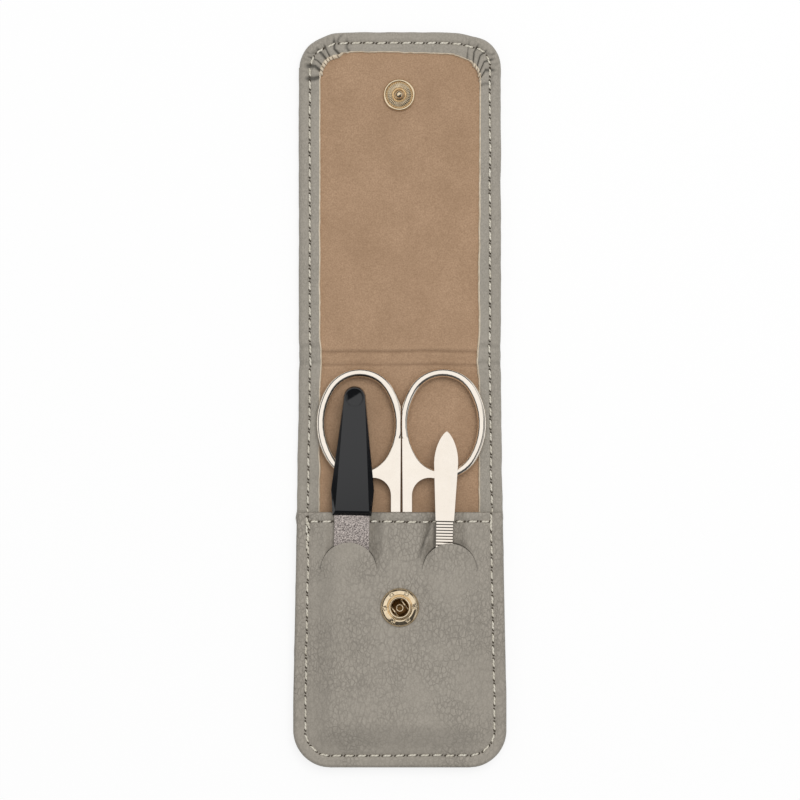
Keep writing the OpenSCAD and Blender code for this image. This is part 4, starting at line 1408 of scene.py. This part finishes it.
dome = cut_corners([(2.32, 0.5), (2.32, 2.1), (2.42, 2.42), (2.66, 2.58), (2.9, 2.54), (3.0, 2.3),
                    (3.04, 1.8), (3.08, 1.35), (3.2, 1.24), (3.34, 1.4), (3.6, 1.47), (3.8, 1.46),
                    (4.0, 1.43), (4.2, 1.37), (4.4, 1.3), (4.6, 1.2), (4.8, 1.05), (5.0, 0.84),
                    (5.16, 0.56), (5.25, 0.25), (5.2, 0.02), (2.4, 0.0), (2.32, 0.5)])
socket = lathe("socket", dome, SOCKET_STEPS, *SOCKET, FRONT_TOP, GOLD, star)
cup = [(0.0, 0.2), (2.26, 0.22), (2.3, 1.9), (2.36, 1.9), (2.36, 0.06), (0.0, 0.05)]
# painted shade: the well is dark brass, standing in for the shade in the bore
well = lathe("socket_well", cup, PLAIN_STEPS, *SOCKET, FRONT_TOP, WELL_SHADE_BRASS)
rolled = cut_corners([(0.6, -1.4), (0.6, 0.22), (0.74, 0.4), (0.95, 0.46), (1.1, 0.34), (1.1, -1.1),
                      (3.6, -1.1), (3.6, -1.4), (0.6, -1.4)])
eyelet = lathe("eyelet", rolled, PLAIN_STEPS, SOCKET[0], SOCKET[1] - 0.15, FRONT_TOP, GOLD)

# %% Lay the wires in the socket
WIRE_R, WIRE_TURN, WIRE_LENGTH = 0.21, -54.8, 3.5
wire_z = box_mm("socket_spring")[0][2] + 0.22
bm = bmesh.new()
for offset in (1.52, -1.72):
    place = (Matrix.Translation((*SOCKET, wire_z)) @
             Matrix.Rotation(math.radians(WIRE_TURN), 4, "Z") @ Matrix.Translation((0, offset, 0)) @
             Matrix.Rotation(math.pi / 2, 4, "Y"))
    bmesh.ops.create_cone(bm, cap_ends=True, segments=16, radius1=WIRE_R, radius2=WIRE_R,
                          depth=WIRE_LENGTH, matrix=place)
for face in bm.faces:
    face.smooth = len(face.verts) == 4
wires = finish_mesh(bm, "socket_wires", [GOLD])
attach(stud, "flap_body")
for piece in (socket, well, eyelet, wires):
    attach(piece, "pocket_body")
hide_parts("snap_stud")
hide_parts("snap_socket")
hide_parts("socket_eyelet")
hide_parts("socket_spring")

# %% [markdown]
# Four CAD solids stay as they are, since their shapes are right: the file's blade, and the rivet and the
# two cards that hardly show. They only get their materials.

# %% Finish the solids that stay
FINISHES = {GOLD: ["stud_rivet"], GRIT: ["file_blade"], CARD: ["pocket_board", "flap_board"]}
for material, names in FINISHES.items():
    for name in names:
        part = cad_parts[name]
        if not part.material_slots:
            part.data.materials.append(material)
        for place in part.material_slots:
            place.link = "OBJECT"
            place.material = material
    print(material.name, "on", ", ".join(names))

# %% [markdown]
# ## Floor, light and camera
#
# The case is photographed from straight above on white. A large soft lamp overhead, a little towards
# the upper right, gives the tools their soft shadows, and a pale sky fills them. The floor is white to
# the camera but still takes a shadow, so it mixes a matt white with a light of its own. Only the camera,
# and rays that a mirror or glass sends on, see that light.

# %% Make the floor and the lamp
FLOOR_WHITE, FLOOR_GLOW = 0.92, 0.82
KEY_PLACE, KEY_SIZE, KEY_POWER = (0.25, 0.45, 1.35), 1.0, 12.5


def white_floor():
    """Matt white that looks evenly white to the camera and still shows a shadow."""
    material = bpy.data.materials.new("white floor")
    material.use_nodes = True
    tree = material.node_tree
    matt = tree.nodes["Principled BSDF"]
    matt.inputs["Base Color"].default_value = (FLOOR_WHITE, FLOOR_WHITE, FLOOR_WHITE, 1)
    matt.inputs["Roughness"].default_value = 0.9
    glow = node(tree, "ShaderNodeEmission", {"Strength": 1.0})
    seen = tree.nodes.new("ShaderNodeLightPath")
    direct = math_node(tree, "MAXIMUM", seen.outputs["Is Camera Ray"], seen.outputs["Is Glossy Ray"])
    shown = math_node(tree, "MAXIMUM", direct, seen.outputs["Is Transmission Ray"])
    share = math_node(tree, "MULTIPLY", shown, FLOOR_GLOW)
    mix = tree.nodes.new("ShaderNodeMixShader")
    tree.links.new(share, mix.inputs[0])
    tree.links.new(matt.outputs[0], mix.inputs[1])
    tree.links.new(glow.outputs[0], mix.inputs[2])
    tree.links.new(mix.outputs[0], tree.nodes["Material Output"].inputs["Surface"])
    return material


bm = bmesh.new()
bmesh.ops.create_grid(bm, x_segments=1, y_segments=1, size=1500)
bmesh.ops.translate(bm, vec=(0, 0, -0.2), verts=bm.verts[:])
floor = finish_mesh(bm, "floor", [white_floor()])
key_data = bpy.data.lights.new("key", "AREA")
key_data.size, key_data.energy = KEY_SIZE, KEY_POWER
key = bpy.data.objects.new("key", key_data)
bpy.context.scene.collection.objects.link(key)
key.location = KEY_PLACE
key.rotation_euler = (-Vector(KEY_PLACE)).to_track_quat("-Z", "Y").to_euler()
key.visible_glossy = False
print("floor and key lamp are set")

# %% [markdown]
# Polished metal shows what stands round it, and here that is the sky. To reflected rays it is a bright
# window overhead with a dark side, and a thin strip of light low on the right. Together they draw the
# bright and dark lines along the finger rings. To the camera the sky is plain white, and to matt
# surfaces it is an even fill.

# %% Light the sky
SKY_FILL = 0.56
SKY_LEAST = 0.08
STRIP_X = 0.84
world = bpy.data.worlds.new("studio")
bpy.context.scene.world = world
world.use_nodes = True
sky = world.node_tree
ray = sky.nodes.new("ShaderNodeLightPath")
way = sky.nodes.new("ShaderNodeSeparateXYZ")
sky.links.new(sky.nodes.new("ShaderNodeTexCoord").outputs["Generated"], way.inputs[0])
slant = math_node(sky, "MULTIPLY_ADD", way.outputs["X"], -0.6, way.outputs["Y"])
lit = node(sky, "ShaderNodeMapRange", {"From Min": -0.36, "From Max": -0.14},
           interpolation_type="SMOOTHSTEP")
sky.links.new(slant, lit.inputs["Value"])
high = node(sky, "ShaderNodeMapRange", {"From Min": 0.42, "From Max": 0.66},
            interpolation_type="SMOOTHSTEP")
sky.links.new(way.outputs["Z"], high.inputs["Value"])
strip = node(sky, "ShaderNodeMapRange", {"From Min": 0.14, "From Max": 0.06, "To Max": 0.6})
off_strip = math_node(sky, "ABSOLUTE", math_node(sky, "SUBTRACT", way.outputs["X"], STRIP_X))
sky.links.new(off_strip, strip.inputs["Value"])
window = math_node(sky, "MULTIPLY", lit.outputs[0], high.outputs[0])
overhead = math_node(sky, "MAXIMUM", math_node(sky, "MAXIMUM", window, strip.outputs[0]), SKY_LEAST)
mirrored_sky = math_node(sky, "MULTIPLY", ray.outputs["Is Glossy Ray"], overhead)
plain_sky = math_node(sky, "MAXIMUM", ray.outputs["Is Camera Ray"], ray.outputs["Is Transmission Ray"])
fill = math_node(sky, "MULTIPLY", ray.outputs["Is Diffuse Ray"], SKY_FILL)
level = math_node(sky, "ADD", math_node(sky, "ADD", mirrored_sky, plain_sky), fill)
sky.nodes["Background"].inputs["Color"].default_value = (1, 1, 1, 1)
sky.links.new(level, sky.nodes["Background"].inputs["Strength"])
print("sky is set")

# %% [markdown]
# The camera hangs far above the case, so that it sees the height of the tools hardly at all, as in the
# photograph. Its lens follows from how many pixels a millimetre of the case takes up there.

# %% Place the camera
PHOTO_PIXELS, PIXELS_PER_MM = 800, 3.6775
VIEW_MM = PHOTO_PIXELS / PIXELS_PER_MM
DISTANCE = 1.6
SENSOR = 36
camera_data = bpy.data.cameras.new("camera")
camera_data.sensor_width = SENSOR
camera_data.lens = SENSOR * DISTANCE / (VIEW_MM * MM)
camera_data.clip_end = 20
camera = bpy.data.objects.new("camera", camera_data)
bpy.context.scene.collection.objects.link(camera)
camera.location = (0.05 * MM, -0.07 * MM, DISTANCE + HEM_TOP * MM)
bpy.context.scene.camera = camera
bpy.context.scene.view_settings.view_transform = "Standard"
print("lens", round(camera_data.lens), "mm")
